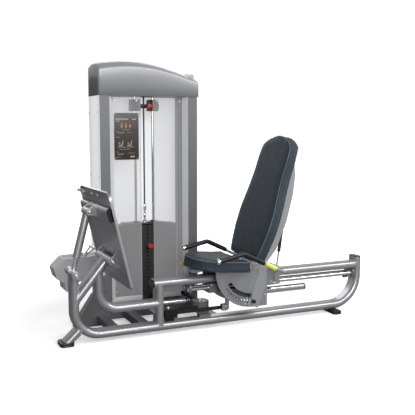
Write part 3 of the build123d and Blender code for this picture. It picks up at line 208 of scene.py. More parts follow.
def vinyl(name, color):
    """Upholstery vinyl: pebbled grain with creases, a soft sheen and slight rubbing."""
    made = Finish(name, color, 0.52)
    made.vary(7.0, tuple(c * 0.95 for c in color), 0.5)
    made.vary(55.0, tuple(c * 1.06 for c in color), 0.3, 5.0)
    made.vary_rough(22.0, 0.46, 0.6)
    grain = made.cells(620.0, "SMOOTH_F1")
    made.tint(made.remap(grain, 0.0, 0.55, 0.0, 0.22), tuple(c * 0.55 for c in color))
    made.bump(grain, 0.00035, 0.55)
    made.bump(made.noise(38.0, 4.0), 0.0004, 0.2)
    made.bsdf.inputs["Sheen Weight"].default_value = 0.02
    made.bsdf.inputs["Specular IOR Level"].default_value = 0.1
    made.bsdf.inputs["Sheen Roughness"].default_value = 0.5
    return made.done()


def cast(name, color):
    """Sprayed cast iron: hammered skin, edges rubbed through."""
    made = Finish(name, color, 0.42, 0.25)
    mask = made.soft_edges(0.0015)
    made.worn(mask, tuple(c * 3.2 for c in color), 0.6, 70.0)
    made.vary(16.0, tuple(c * 0.6 for c in color), 0.5)
    made.bump(made.cells(240.0), 0.0006, 0.5)
    return made.bump(made.noise(900.0, 3.0), 0.0002, 0.4).done()


def glazed(name, color, clear, side_clear, rough, glow, side_glow):
    """Translucent sheet that lets a share of the light straight through. Its glow is painted light: an
    emission that stands in for the light coming through the sheet from behind.

    Sheets that face sideways have their own share and glow."""
    made = Finish(name, color, rough)
    made.vary(3.0, tuple(c * 0.93 for c in color), 0.5)
    made.vary_rough(8.0, rough * 0.9, rough * 1.2)
    made.bump(made.noise(6.0, 1.0), 0.0002, 0.2)
    facing = made.node("ShaderNodeSeparateXYZ", Vector=made.node("ShaderNodeNewGeometry").outputs["Normal"])
    sideways = made.calc("ABSOLUTE", facing.outputs["X"], 0.0)
    # Painted glow: the sheet emits light of its own, at a separate level on sideways faces, in place of light
    # shining through it.
    made.bsdf.inputs["Emission Color"].default_value = (1, 1, 1, 1)
    made.plug(made.bsdf.inputs["Emission Strength"], made.remap(sideways, 0.5, 0.9, glow, side_glow))
    made.bsdf.inputs["Specular IOR Level"].default_value = 0.25
    made.done()
    through = made.node("ShaderNodeBsdfTransparent")
    clouds = made.remap(made.noise(2.2, 1.0), 0.3, 0.7, 0.98, 1.02)
    share = made.calc("MULTIPLY", made.remap(sideways, 0.5, 0.9, clear, side_clear), clouds)
    mixed = made.node("ShaderNodeMixShader", Fac=share)
    made.plug(mixed.inputs[1], made.bsdf.outputs[0])
    made.plug(mixed.inputs[2], through.outputs[0])
    made.plug(made.tree.nodes["Material Output"].inputs["Surface"], mixed.outputs[0])
    return made.mat


def webbing(name):
    """Black drive belt: moulded cords under rubber, dusty in patches."""
    made = Finish(name, srgb(13, 13, 14), 0.5)
    made.vary(40.0, srgb(26, 26, 27), 0.4)
    made.bump(made.noise(500.0, 2.0), 0.0003, 0.5)
    return made.done()


FINISHES = (
    painted("frame_paint", srgb(172, 173, 176), 0.7, 0.34),
    painted("tower_paint", srgb(107, 108, 110), 0.3, 0.45),
    painted("cap_shell", srgb(160, 161, 164), 0.22, 0.4),
    painted("back_silver", srgb(178, 180, 183), 0.55, 0.34),
    painted("tray_plastic", srgb(214, 215, 217), 0.3, 0.3),
    painted("fold_light", srgb(205, 206, 209), 0.1, 0.5),
    # The last two numbers of clear_panel and side_panel are painted glow, on front-facing faces and on
    # sideways faces.
    glazed("clear_panel", srgb(128, 129, 131), 0.78, 0.5, 0.5, 0.3, 0.2),
    glazed("side_panel", srgb(225, 226, 229), 0.34, 0.1, 0.5, 0.3, 0.46),
    bright("chrome", (0.83, 0.84, 0.85), 0.09),
    bright("plated_steel", (0.66, 0.67, 0.68), 0.24),
    moulded("black_plastic", srgb(17, 17, 18), 0.32, pale=0.015),
    moulded("rubber", srgb(20, 20, 21), 0.42, grain=520.0, depth=0.0002, pale=0.012),
    vinyl("upholstery", srgb(58, 67, 75)),
    # Pale piping colour: a painted highlight standing in for the light caught along the cushions' rounded
    # edges; the stitches share it.
    vinyl("welt", srgb(126, 140, 151)),
    cast("weight_iron", srgb(40, 40, 42)),
    cast("add_on_iron", srgb(34, 34, 36)),
    webbing("belt"),
    moulded("placard_sheet", srgb(50, 44, 42), 0.35, grain=1500.0, depth=0.00005),
    moulded("placard_ink", srgb(176, 168, 152), 0.45, grain=1500.0, depth=0.00004),
    moulded("placard_accent", srgb(190, 120, 78), 0.45, grain=1500.0, depth=0.00004),
    moulded("red_knob", srgb(188, 30, 32), 0.28, grain=1200.0, depth=0.00004),
    moulded("yellow_grip", srgb(222, 226, 118), 0.4, grain=1000.0, depth=0.00012),
    bright("weld", (0.42, 0.42, 0.43), 0.4),
)
FINISH = {finish.name.split(".")[0]: finish for finish in FINISHES}
for node in NODES.values():
    for place in node.material_slots:
        place.material = FINISH[place.material.name.split(".")[0]]


# ---- mesh helpers ------------------------------------------------------------------------------
def rounded(points, radius, steps=5):
    """Closed outline with its corners turned to arcs. radius is one number or one per corner."""
    outline = []
    count = len(points)
    for i, point in enumerate(points):
        corner = Vector(point)
        before = (Vector(points[i - 1]) - corner)
        after = (Vector(points[(i + 1) % count]) - corner)
        r = radius[i] if isinstance(radius, (list, tuple)) else radius
        half = before.angle(after) / 2
        reach = min(r / math.tan(half), before.length * 0.49, after.length * 0.49) if r > 0 else 0.0
        if reach < 1e-6:
            outline.append(corner)
            continue
        start, end = corner + before.normalized() * reach, corner + after.normalized() * reach
        for k in range(steps + 1):
            t = k / steps
            outline.append(start * (1 - t) ** 2 + corner * 2 * t * (1 - t) + end * t ** 2)
    return outline


def inset(outline, amount):
    """Moves each point of a closed outline inwards along its corner's bisector."""
    area = sum(a.x * b.y - b.x * a.y for a, b in zip(outline, outline[1:] + outline[:1]))
    turn = 1 if area > 0 else -1
    moved = []
    for i, point in enumerate(outline):
        before = (point - outline[i - 1]).normalized()
        after = (outline[(i + 1) % len(outline)] - point).normalized()
        side = Vector((-before.y - after.y, before.x + after.x))
        if side.length < 1e-9:
            side = Vector((-before.y, before.x))
        side.normalize()
        sharp = max(0.5, side.dot(Vector((-before.y, before.x))))
        moved.append(point + side * (turn * amount / sharp))
    return moved


def strip_outline(points, thick):
    """Closed outline of a bent sheet, from its middle line."""
    line = [Vector(p) for p in points]
    left, right = [], []
    for i, point in enumerate(line):
        ahead = line[min(i + 1, len(line) - 1)] - line[max(i - 1, 0)]
        side = Vector((-ahead.y, ahead.x)).normalized() * thick / 2
        left.append(point + side)
        right.append(point - side)
    return left + right[::-1]


def arc(centre, radius, start, end, steps):
    """Points of a circle in two dimensions, by degrees."""
    turns = [math.radians(start + (end - start) * k / steps) for k in range(steps + 1)]
    return [(centre[0] + radius * math.cos(t), centre[1] + radius * math.sin(t)) for t in turns]


class Batch:
    """Many small shapes gathered into one mesh piece."""

    def __init__(self):
        self.bm = bmesh.new()

    def rings(self, rings, closed=False):
        rows = [[self.bm.verts.new(p) for p in ring] for ring in rings]
        pairs = list(zip(rows, rows[1:]))
        if closed:
            pairs.append((rows[-1], rows[0]))
        for a, b in pairs:
            for i in range(len(a)):
                j = (i + 1) % len(a)
                self.bm.faces.new((a[i], a[j], b[j], b[i]))
        if not closed:
            self.bm.faces.new(rows[0][::-1])
            self.bm.faces.new(rows[-1])

    def lathe(self, origin, axis, profile, segments=28):
        """Turns (radius, along) points round an axis. A third value makes that ring a hexagon."""
        axis = axis.normalized()
        side = axis.orthogonal().normalized()
        up = axis.cross(side)
        rings = []
        for radius, along, *shape in profile:
            ring = []
            for k in range(segments):
                turn = math.tau * k / segments
                reach = radius
                if shape:
                    reach = radius * math.cos(math.pi / 6) / math.cos(turn % (math.pi / 3) - math.pi / 6)
                ring.append(origin + axis * along + (side * math.cos(turn) + up * math.sin(turn)) * reach)
            rings.append(ring)
        self.rings(rings)

    def turned_ring(self, origin, axis, profile, segments=20):
        """Turns a closed profile of (radius, along) points, which leaves the hole in the middle open."""
        side = axis.orthogonal().normalized()
        up = axis.cross(side)
        rings = []
        for k in range(segments):
            out = side * math.cos(math.tau * k / segments) + up * math.sin(math.tau * k / segments)
            rings.append([origin + out * radius + axis * along for radius, along in profile])
        self.rings(rings, closed=True)

    def tube(self, points, radius, segments=10, closed=False):
        """Round bar along points; radius is a number or one per point."""
        count = len(points)
        up = None
        rings = []
        for i, point in enumerate(points):
            if closed:
                ahead = points[(i + 1) % count] - points[i - 1]
            else:
                ahead = points[min(i + 1, count - 1)] - points[max(i - 1, 0)]
            ahead.normalize()
            up = ahead.orthogonal() if up is None else up - ahead * up.dot(ahead)
            up.normalize()
            side = ahead.cross(up)
            r = radius[i] if isinstance(radius, (list, tuple)) else radius
            turns = [math.tau * k / segments for k in range(segments)]
            rings.append([point + (up * math.cos(t) + side * math.sin(t)) * r for t in turns])
        self.rings(rings, closed)

    def ribbon(self, samples, wide, thick, ribs=5):
        """Flat ribbed belt. samples are (point, direction across the belt)."""
        rings = []
        for i, (point, across) in enumerate(samples):
            ahead = samples[min(i + 1, len(samples) - 1)][0] - samples[max(i - 1, 0)][0]
            ahead.normalize()
            across = (across - ahead * across.dot(ahead)).normalized()
            out = ahead.cross(across)
            ring = []
            for k in range(2 * ribs + 1):
                depth = thick / 2 if k % 2 == 0 else thick / 2 - 0.0005
                ring.append(point + across * (wide * (k / (2 * ribs) - 0.5)) + out * depth)
            for k in range(2 * ribs, -1, -1):
                ring.append(point + across * (wide * (k / (2 * ribs) - 0.5)) - out * (thick / 2))
            rings.append(ring)
        self.rings(rings)

    def slab(self, outline, origin, u, v, depth, soft=0.0, steps=3):
        """Extrudes an outline drawn on u and v along u x v, with rounded rims."""
        outline = [Vector(p) for p in outline]
        out = u.cross(v)
        levels = [(0.0, 0.0)]
        if soft > 0:
            levels = [(soft * (1 - math.sin(a)), soft * (1 - math.cos(a)))
                      for a in (math.pi / 2 * k / steps for k in range(steps + 1))]
        profile = levels + [(shrink, depth - along) for shrink, along in levels[::-1]]
        rings = []
        for shrink, along in profile:
            flat = inset(outline, shrink) if shrink > 1e-7 else outline
            rings.append([origin + u * p.x + v * p.y + out * along for p in flat])
        self.rings(rings)

    def box(self, low, high, soft=0.002):
        corners = [(low[0], low[1]), (high[0], low[1]), (high[0], high[1]), (low[0], high[1])]
        self.slab(rounded(corners, soft * 1.5, 3), Z * low[2], X, Y, high[2] - low[2], soft)

    def piece(self, name, body, finish, slot=None, angle=38):
        bmesh.ops.remove_doubles(self.bm, verts=self.bm.verts, dist=1e-6)
        bmesh.ops.recalc_face_normals(self.bm, faces=self.bm.faces)
        mesh = bpy.data.meshes.new(name)
        self.bm.to_mesh(mesh)
        self.bm.free()
        return place_mesh(name, mesh, body, finish, angle)


def place_mesh(name, mesh, body, finish, angle=38):
    obj = bpy.data.objects.new(name, mesh)
    bpy.context.scene.collection.objects.link(obj)
    mesh.materials.clear()
    mesh.materials.append(FINISH[finish])
    mesh.shade_smooth()
    mesh.set_sharp_from_angle(angle=math.radians(angle))
    if body:
        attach(obj, body)
    return obj


def middle(node):
    low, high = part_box(node)
    return (low + high) / 2


def scaled(profile, size):
    """A lathe profile in units of one size; a hexagon mark stays as it is."""
    return [(radius * size, along * size, *shape) for radius, along, *shape in profile]


def screw(batch, point, out, size):
    """Washer and socket button head. size is the head's radius."""
    washer = ((1.45, -0.0005 / size), (1.5, 0.08), (1.5, 0.2), (1.42, 0.28))
    head = ((1, 0), (1, 0.2), (0.93, 0.42), (0.76, 0.6), (0.58, 0.66), (0.5, 0.64, 6), (0.46, 0.25, 6))
    batch.lathe(point, out, scaled(washer, size))
    batch.lathe(point + out * (size * 0.27), out, scaled(head, size), 24)


def hex_bolt(batch, point, out, size):
    """Washer, hexagon head with a chamfered crown."""
    washer = ((1.5, -0.0005 / size), (1.55, 0.06), (1.55, 0.18), (1.5, 0.24))
    head = ((1.12, 0, 6), (1.12, 0.55, 6), (0.98, 0.68), (0.6, 0.7))
    batch.lathe(point, out, scaled(washer, size))
    batch.lathe(point + out * (size * 0.23), out, scaled(head, size), 24)


def pivot_end(batch, point, out, size):
    """Cap of a pivot shaft: turned washer, a groove, and a domed bolt head."""
    batch.lathe(point, out, [
        (size, -0.001), (size, 0.0035), (size * 0.95, 0.0048), (size * 0.74, 0.0050), (size * 0.72, 0.0030),
        (size * 0.6, 0.0030), (size * 0.58, 0.0075), (size * 0.5, 0.0105), (size * 0.34, 0.0118),
        (size * 0.26, 0.0115, 6), (size * 0.24, 0.0070, 6)], 36)


def nearest(name):
    """Ray and closest-point lookup over a CAD node."""
    mesh = NODES[name].data
    return BVHTree.FromPolygons([v.co.copy() for v in mesh.vertices], [p.vertices[:] for p in mesh.polygons])


def weld(batch, centre, along, target, wide, deep, bead=0.0032):
    """Rippled bead where a flat-oval tube that runs one way, flat side across Y, meets another part."""
    tree = nearest(target)
    up = along.cross(Y).normalized()
    flat = (wide - deep) / 2
    loop = []
    for k in range(WELD_STEPS):
        turn = math.tau * k / WELD_STEPS
        side = flat if math.cos(turn) >= 0 else -flat
        offset = Y * (side + deep / 2 * math.cos(turn)) + up * (deep / 2 * math.sin(turn))
        start = centre + offset
        hit = tree.ray_cast(start, along, 0.25)[0]
        if hit is None:
            hit = tree.find_nearest(start + along * 0.03)[0]
        loop.append(hit + offset.normalized() * bead * 0.35 - along * bead * 0.35)
    smooth = []
    for i in range(len(loop)):
        a, b = loop[i], loop[(i + 1) % len(loop)]
        smooth += [a, (a + b) / 2]
    sizes = [bead * (1 + 0.16 * math.sin(i * 2.1)) for i in range(len(smooth))]
    batch.tube(smooth, sizes, 8, closed=True)


# ---- upholstery -----------------------------------------------------------------------------------
SWELL_FRAMES = 20


def remeshed(node, name, voxel):
    """A fine, even mesh of a CAD node, as a new object."""
    obj = bpy.data.objects.new(name, NODES[node].data.copy())
    bpy.context.scene.collection.objects.link(obj)
    step = obj.modifiers.new("remesh", "REMESH")
    step.mode = "VOXEL"
    step.voxel_size = voxel
    step.use_smooth_shade = True
    dg = bpy.context.evaluated_depsgraph_get()
    mesh = bpy.data.meshes.new_from_object(obj.evaluated_get(dg))
    obj.modifiers.clear()
    obj.data = mesh
    return obj


def relaxed(bm, times=1):
    """Evens out a mesh by moving its points towards their neighbours."""
    every_axis = {"use_axis_x": True, "use_axis_y": True, "use_axis_z": True}
    for _ in range(times):
        bmesh.ops.smooth_vert(bm, verts=bm.verts, factor=0.5, **every_axis)


def inflate(obj, out, pinned_depth, cap, pressure=4.0):
    """Cloth pressure swells the cover, at most by cap. The strip next to its board stays put."""
    mesh = obj.data
    rest = [v.co.copy() for v in mesh.vertices]
    floor = min(p.dot(out) for p in rest)
    group = obj.vertex_groups.new(name="board")
    for i, p in enumerate(rest):
        depth = p.dot(out) - floor
        weight = max(0.0, min(1.0, (pinned_depth - depth) / pinned_depth * 2))
        group.add([i], weight, "REPLACE")
    cloth = obj.modifiers.new("cover", "CLOTH")
    cloth.settings.quality = 4
    cloth.settings.mass = 0.25
    cloth.settings.tension_stiffness = 18
    cloth.settings.compression_stiffness = 18
    cloth.settings.bending_stiffness = 0.8
    cloth.settings.vertex_group_mass = "board"
    cloth.settings.use_pressure = True
    cloth.settings.uniform_pressure_force = pressure
    cloth.settings.effector_weights.gravity = 0
    cloth.collision_settings.use_collision = False
    for step in range(1, SWELL_FRAMES + 1):
        bpy.context.scene.frame_set(step)
    dg = bpy.context.evaluated_depsgraph_get()
    swollen = bpy.data.meshes.new_from_object(obj.evaluated_get(dg))
    bpy.context.scene.frame_set(1)
    for vertex, start in zip(swollen.vertices, rest):
        move = vertex.co - start
        if move.length > cap:
            vertex.co = start + move.normalized() * cap
    obj.modifiers.clear()
    obj.vertex_groups.clear()
    obj.data = swollen


def reach(bm, axis):
    """How far a mesh reaches along an axis, both ways."""
    along = [v.co.dot(axis) for v in bm.verts]
    return min(along), max(along)


def cushion(node, name, out, relax, voxel=0.007, shrink=0.002, pinned_depth=0.016, cap=0.006):
    """Mesh of a padded, boxed cushion that fills its CAD solid. out points away from its board."""
    obj = remeshed(node, name, voxel)
    bm = bmesh.new()
    bm.from_mesh(obj.data)
    sides = [(axis, reach(bm, axis)) for axis in (out, Y, out.cross(Y))]
    relaxed(bm, relax)
    bm.normal_update()
    low = min(v.co.dot(out) for v in bm.verts)
    for vertex in bm.verts:
        vertex.co -= vertex.normal * shrink
    bm.to_mesh(obj.data)
    bm.free()
    inflate(obj, out, pinned_depth, cap)
    bm = bmesh.new()
    bm.from_mesh(obj.data)
    relaxed(bm)
    for axis, (full_low, full_high) in sides:
        now_low, now_high = reach(bm, axis)
        for vertex in bm.verts:
            at = vertex.co.dot(axis)
            share = (at - now_low) / (now_high - now_low)
            vertex.co += axis * (full_low + share * (full_high - full_low) - at)
    for vertex in bm.verts:
        depth = vertex.co.dot(out) - low
        if depth < 0.0:
            vertex.co -= out * depth
    bm.to_mesh(obj.data)
    bm.free()
    mesh = obj.data
    bpy.data.objects.remove(obj)
    return mesh


def slice_loop(mesh, point, normal, count):
    """Even points round the outline where a plane cuts a mesh."""
    bm = bmesh.new()
    bm.from_mesh(mesh)
    everything = bm.verts[:] + bm.edges[:] + bm.faces[:]
    cut = bmesh.ops.bisect_plane(bm, geom=everything, plane_co=point, plane_no=normal)
    edges = [e for e in cut["geom_cut"] if isinstance(e, bmesh.types.BMEdge)]
    links = {}
    for edge in edges:
        a, b = edge.verts
        links.setdefault(a, []).append(b)
        links.setdefault(b, []).append(a)
    best = []
    unseen = dict.fromkeys(links)
    while unseen:
        walk = [next(iter(unseen))]
        del unseen[walk[0]]
        while True:
            onward = [v for v in links[walk[-1]] if v in unseen]
            if not onward:
                break
            walk.append(onward[0])
            del unseen[onward[0]]
        if len(walk) > len(best):
            best = walk
    line = [v.co.copy() for v in best]
    bm.free()
    lengths = [0.0]
    for a, b in zip(line, line[1:] + line[:1]):
        lengths.append(lengths[-1] + (b - a).length)
    even = []
    at = 0
    for k in range(count):
        target = lengths[-1] * k / count
        while lengths[at + 1] < target:
            at += 1
        t = (target - lengths[at]) / max(1e-9, lengths[at + 1] - lengths[at])
        even.append(line[at].lerp(line[(at + 1) % len(line)], t))
    for _ in range(3):
        even = [(even[i - 1] + even[i] * 2 + even[(i + 1) % count]) / 4 for i in range(count)]
    return even


def groove(mesh, level, out, half, depth):
    """Presses a sewn seam into a cover, in a band round it at one height along out."""
    bm = bmesh.new()
    bm.from_mesh(mesh)
    bm.normal_update()
    for vertex in bm.verts:
        away = abs(vertex.co.dot(out) - level) / half
        if away < 1:
            side = vertex.normal - out * vertex.normal.dot(out)
            if side.length > 0.5:
                vertex.co -= side.normalized() * depth * (0.5 + 0.5 * math.cos(math.pi * away))
    bm.to_mesh(mesh)
    bm.free()


def upholster(node, name, body, out, welt_depth, relax):
    """Cushion, its piping, and a second seam with stitches."""
    mesh = cushion(node, name, out, relax)
    heights = [v.co.dot(out) for v in mesh.vertices]
    top, bottom = max(heights), min(heights)
    groove(mesh, bottom + GROOVE_UP, out, 0.006, 0.0016)
    bm = bmesh.new()
    bm.from_mesh(mesh)
    bmesh.ops.subdivide_edges(bm, edges=bm.edges, cuts=1, use_grid_fill=True, smooth=0.0)
    relaxed(bm)
    bm.to_mesh(mesh)
    bm.free()
    obj = place_mesh(name, mesh, body, "upholstery", angle=70)
    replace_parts(obj, node)
    # Piping round the cushion's edge, coloured pale as a painted highlight.
    welt = Batch()
    welt.tube(slice_loop(mesh, out * (top - welt_depth), out, 220), WELT_R, 8, closed=True)
    welt.piece(name + "_welt", body, "welt", "upholstery")
    stitches = Batch()
    seam = slice_loop(mesh, out * (bottom + SEAM_UP), out, 360)
    for k in range(0, len(seam), 2):
        stitches.tube([seam[k], seam[k].lerp(seam[(k + 1) % len(seam)], 0.8)], 0.0006, 5)
    stitches.piece(name + "_stitches", body, "welt", "upholstery")


GROOVE_UP, SEAM_UP, WELT_R = 0.012, 0.0175, 0.0021
lean = math.radians(19.0)
BACK_OUT = Vector((-math.cos(lean), 0, math.sin(lean)))     # the way the back pad faces
BACK_UP = Vector((math.sin(lean), 0, math.cos(lean)))
BACK_FOOT = Vector((0.147, SPINE, 0.465))                   # foot of the back pad's front face
pan_rise = math.atan2(0.028, 0.332)
SEAT_OUT = Vector((math.sin(pan_rise), 0, math.cos(pan_rise)))
upholster("seat_pad", "seat_cushion", "seat", SEAT_OUT, 0.014, 6)
upholster("back_pad", "back_cushion", "back", BACK_OUT, 0.008, 3)


# ---- belts ----------------------------------------------------------------------------------------------
BELT_WIDE, BELT_THICK = 0.024, 0.003
FLANGE, BELT_SIT = 0.005, 0.0018    # a pulley's flange height, and the belt's middle above the groove floor
turn, corner, base = middle("turn_pulley"), middle("corner_pulley"), middle("base_pulley")
top_right, top_left = middle("top_pulley_right"), middle("top_pulley_left")


def rim(node, axis):
    """Radius of the belt's middle on a pulley that turns about an axis."""
    low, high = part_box(node)
    return max((high - low)[i] for i in range(3) if i != axis) / 2 - FLANGE + BELT_SIT


turn_r, corner_r, base_r = rim("turn_pulley", 2), rim("corner_pulley", 2), rim("base_pulley", 0)
top_r = rim("top_pulley_right", 1)


def wrap(centre, radius, start, end, e1, e2, across, steps=14):
    """Belt samples round a pulley, by degrees in the plane of e1 and e2."""
    samples = []
    for k in range(steps + 1):
        a = math.radians(start + (end - start) * k / steps)
        samples.append((centre + (e1 * math.cos(a) + e2 * math.sin(a)) * radius, across))
    return samples


def straight(start, end, from_across, to_across, steps=40):
    """Belt samples along a straight run, turning from one flat to the other."""
    samples = []
    for k in range(1, steps):
        t = k / steps
        a = t * math.pi / 2
        across = from_across
        if from_across != to_across:
            across = from_across * math.cos(a) + to_across * math.sin(a)
        samples.append((start.lerp(end, t), across))
    return samples


runs = [
    (wrap(turn, turn_r, 270, 90, X, Y, Z), Z),
    (wrap(corner, corner_r, -90, 0, X, Y, Z), Z),
    (wrap(base, base_r, -90, 0, Y, Z, X), X),
    (wrap(top_right, top_r, 0, 90, X, Z, Y), Y),
    (wrap(top_left, top_r, 90, 180, X, Z, Y), Y),
]
path = list(runs[0][0])
for (before, across_a), (after, across_b) in zip(runs, runs[1:]):
    path += straight(before[-1][0], after[0][0], across_a, across_b)
    path += after
batch = Batch()
batch.ribbon(path, BELT_WIDE, BELT_THICK)
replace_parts(batch.piece("belt_run", "frame", "belt"), "fixed_belt")

clamp_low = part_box("belt_clamp")[0]
near_y = turn.y - turn_r
batch = Batch()
pull = [(Vector((turn.x, near_y, turn.z)), Z)]
pull += straight(pull[0][0], Vector((clamp_low.x + 0.02, near_y, turn.z)), Z, Z, 90)
batch.ribbon(pull, BELT_WIDE, BELT_THICK)
pull_belt = batch.piece("pull_belt", None, "belt")
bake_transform(pull_belt)
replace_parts(pull_belt, "pull_strand")

hook_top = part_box("selector_stem")[1].z
lift_x = top_left.x - top_r
batch = Batch()
lift_top = Vector((lift_x, top_left.y, top_left.z))
lift = [(lift_top, Y)] + straight(lift_top, Vector((lift_x, top_left.y, hook_top - 0.012)), Y, Y, 120)
batch.ribbon(lift, BELT_WIDE, BELT_THICK)
lift_belt = batch.piece("lift_belt", None, "belt")
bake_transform(lift_belt)
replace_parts(lift_belt, "lift_strand")

# Belt end fittings: clevis with two screws and a shackle above the stack.
batch = Batch()
hook = Vector((lift_x, top_left.y, hook_top))
batch.box(hook - Vector((0.007, 0.015, 0.020)), hook + Vector((0.007, 0.015, 0.022)), 0.0025)
SHACKLE_R, SHACKLE_STEPS = 0.013, 28
turns = [math.tau * k / SHACKLE_STEPS for k in range(SHACKLE_STEPS)]
shackle = [hook + Vector((0.0, SHACKLE_R * math.cos(t), -0.030 + SHACKLE_R * math.sin(t))) for t in turns]
batch.tube(shackle, 0.0032, 10, closed=True)
collar = [(0.0085, 0), (0.0095, 0.002), (0.0095, 0.018), (0.0075, 0.022), (0.006, 0.026)]
batch.lathe(hook - Z * 0.066, Z, collar)
for height in (-0.010, 0.010):
    screw(batch, hook + Z * height - X * 0.007, -X, 0.004)
batch.piece("lift_clevis", "stack", "chrome")
batch = Batch()
for dx in (0.009, 0.025):
    for dz in (-0.011, 0.011):
        screw(batch, Vector((clamp_low.x + dx, near_y - 0.0145, turn.z + dz)), -Y, 0.0042)
plate_low = (clamp_low.x - 0.004, near_y - 0.017, turn.z - 0.020)
batch.box(plate_low, (clamp_low.x + 0.032, near_y - 0.0143, turn.z + 0.020), 0.001)
batch.piece("clamp_plate", "carriage", "chrome", "plated_steel")


# ---- tower cap, shrouds, placard ---------------------------------------------------------------------
cap_low, cap_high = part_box("tower_cap")
base_low, base_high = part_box("tower_base")
frame_low, frame_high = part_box("tower_frame")
tower_x = middle("resting_plates").x
front_y, rear_y = frame_low.y, frame_high.y
EDGE = 0.002                        # roof heights are read at least this far inside the cap
CAP_INSET = 0.007
CAP_WALL = 0.004
cap_lookup = nearest("tower_cap")


def cap_roof(x, y):
    """Height of the CAD cap's roof."""
    x = min(max(x, cap_low.x + EDGE), cap_high.x - EDGE)
    return cap_lookup.ray_cast(Vector((x, y, 3.0)), -Z)[0].z


def cap_arch(x):
    """Height of the cap's front edge. It is highest left of the middle and falls away to the right."""
    return cap_roof(x, front_y + EDGE)


def cap_crown(y):
    """Rise of the cap's top behind its front edge."""
    return cap_roof(tower_x, min(max(y, front_y + EDGE), rear_y - EDGE)) - cap_arch(tower_x)


def make_cap():
    """A softened box whose roof is pulled up to the arch and the crown, then hollowed."""
    bm = bmesh.new()
    bmesh.ops.create_cube(bm, size=1.0)
    low = Vector((cap_low.x + CAP_INSET, front_y - 0.004, cap_low.z))
    high = Vector((cap_high.x, rear_y, cap_low.z + 0.18))
    for vertex in bm.verts:
        vertex.co = Vector((low[i] + (vertex.co[i] + 0.5) * (high[i] - low[i]) for i in range(3)))
    rims = [e for e in bm.edges if max(v.co.z for v in e.verts) > low.z + 0.01]
    bmesh.ops.bevel(bm, geom=rims, offset=0.013, segments=5, profile=0.5, affect="EDGES")
    for normal, steps in ((X, 36), (Y, 14)):
        for k in range(1, steps):
            everything = bm.verts[:] + bm.edges[:] + bm.faces[:]
            bmesh.ops.bisect_plane(bm, geom=everything, plane_co=low.lerp(high, k / steps), plane_no=normal)
    for vertex in bm.verts:
        share = (vertex.co.z - low.z) / (high.z - low.z)
        roof = cap_arch(vertex.co.x) + cap_crown(max(front_y, vertex.co.y)) - low.z
        roof_flat = high.z - low.z
        blend = min(1.0, max(0.0, (share - 0.3) / 0.55))
        vertex.co.z = low.z + share * (roof_flat + (roof - roof_flat) * blend)
    floor = [f for f in bm.faces if f.normal.z < -0.9]
    bmesh.ops.delete(bm, geom=floor, context="FACES")
    mesh = bpy.data.meshes.new("cap")
    bm.to_mesh(mesh)
    bm.free()
    obj = place_mesh("cap_shell", mesh, None, "cap_shell", angle=60)
    wall = obj.modifiers.new("wall", "SOLIDIFY")
    wall.thickness = CAP_WALL
    wall.offset = -1
    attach(obj, "frame")
    return obj


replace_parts(make_cap(), "tower_cap")
batch = Batch()
hump_left, hump_right, HUMP_TALL = cap_high.x - 0.077, cap_high.x - 0.004, 0.086
hump = [(hump_left, 0.0), (hump_right, 0.0), (hump_right, HUMP_TALL), (hump_left, HUMP_TALL)]
hump = rounded(hump, [0, 0, 0.012, 0.012])
batch.slab(hump, Vector((0, 0.400, cap_high.z - 0.167)), X, Z, 0.100, 0.006)
batch.piece("cap_hump", "frame", "cap_shell")

panel_low, panel_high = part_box("front_shrouds")
gap_low, gap_high = tower_x - 0.051, tower_x + 0.042         # the slot in front of the pin holes
SHEET = 0.004
BEND_R = 0.006
panel_mid = panel_low.y + SHEET / 2
batch = Batch()
for side, edge, start in ((-1, gap_low, panel_low.x), (1, gap_high, panel_high.x)):
    bend_x = edge + side * BEND_R
    line = [(start, panel_mid), ((start + edge) / 2, panel_mid), (bend_x, panel_mid)]
    line += arc((bend_x, panel_mid + BEND_R), BEND_R, -90, 0 if side < 0 else -180, 6)[1:]
    line.append((edge, panel_high.y - 0.001))
    batch.slab(strip_outline(line, SHEET), Z * panel_low.z, X, Y, panel_high.z - panel_low.z, 0.0008, 2)
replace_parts(batch.piece("front_shroud_sheets", "frame", "clear_panel", angle=30), "front_shrouds")

COLUMN, FOLD, RECESS = 0.066, 0.034, 0.038
SILL_END = -0.118
batch = Batch()
for edge, inward in ((frame_low.x + COLUMN, 1), (frame_high.x - COLUMN, -1)):
    start = Vector((edge + inward * 0.0005, front_y + 0.001))
    end = Vector((edge + inward * FOLD, front_y + RECESS - 0.001))
    turn_in = end + (end - start).normalized() * -0.002
    fold = strip_outline([start, start.lerp(end, 0.5), turn_in], 0.0012)
    batch.slab(fold, Z * panel_low.z, X, Y, panel_high.z - panel_low.z, 0.0003, 1)
batch.piece("fold_trims", "frame", "fold_light", "tower_paint", angle=30)

batch = Batch()
for left, right in ((panel_low.x - 0.030, gap_low), (gap_high, SILL_END)):
    sill_low = (left, panel_low.y - 0.002, panel_low.z - 0.034)
    batch.box(sill_low, (right, panel_low.y + 0.010, panel_low.z - 0.001), 0.002)
batch.piece("shroud_sill", "frame", "fold_light", "tower_paint")

placard_low, placard_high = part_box("placard")
sheet_w, sheet_h = placard_high.x - placard_low.x, placard_high.z - placard_low.z
sheet_at = Vector((placard_low.x, placard_high.y, placard_low.z))


def on_sheet(batch, points, lift, thick, radius=0.0, soft=0.0):
    """Raised shape on the placard, drawn from its lower left corner."""
    outline = rounded(points, radius, 3) if radius else points
    batch.slab(outline, sheet_at - Y * lift, X, Z, thick, soft, 2)


def rect(x0, z0, x1, z1):
    return [(x0, z0), (x1, z0), (x1, z1), (x0, z1)]


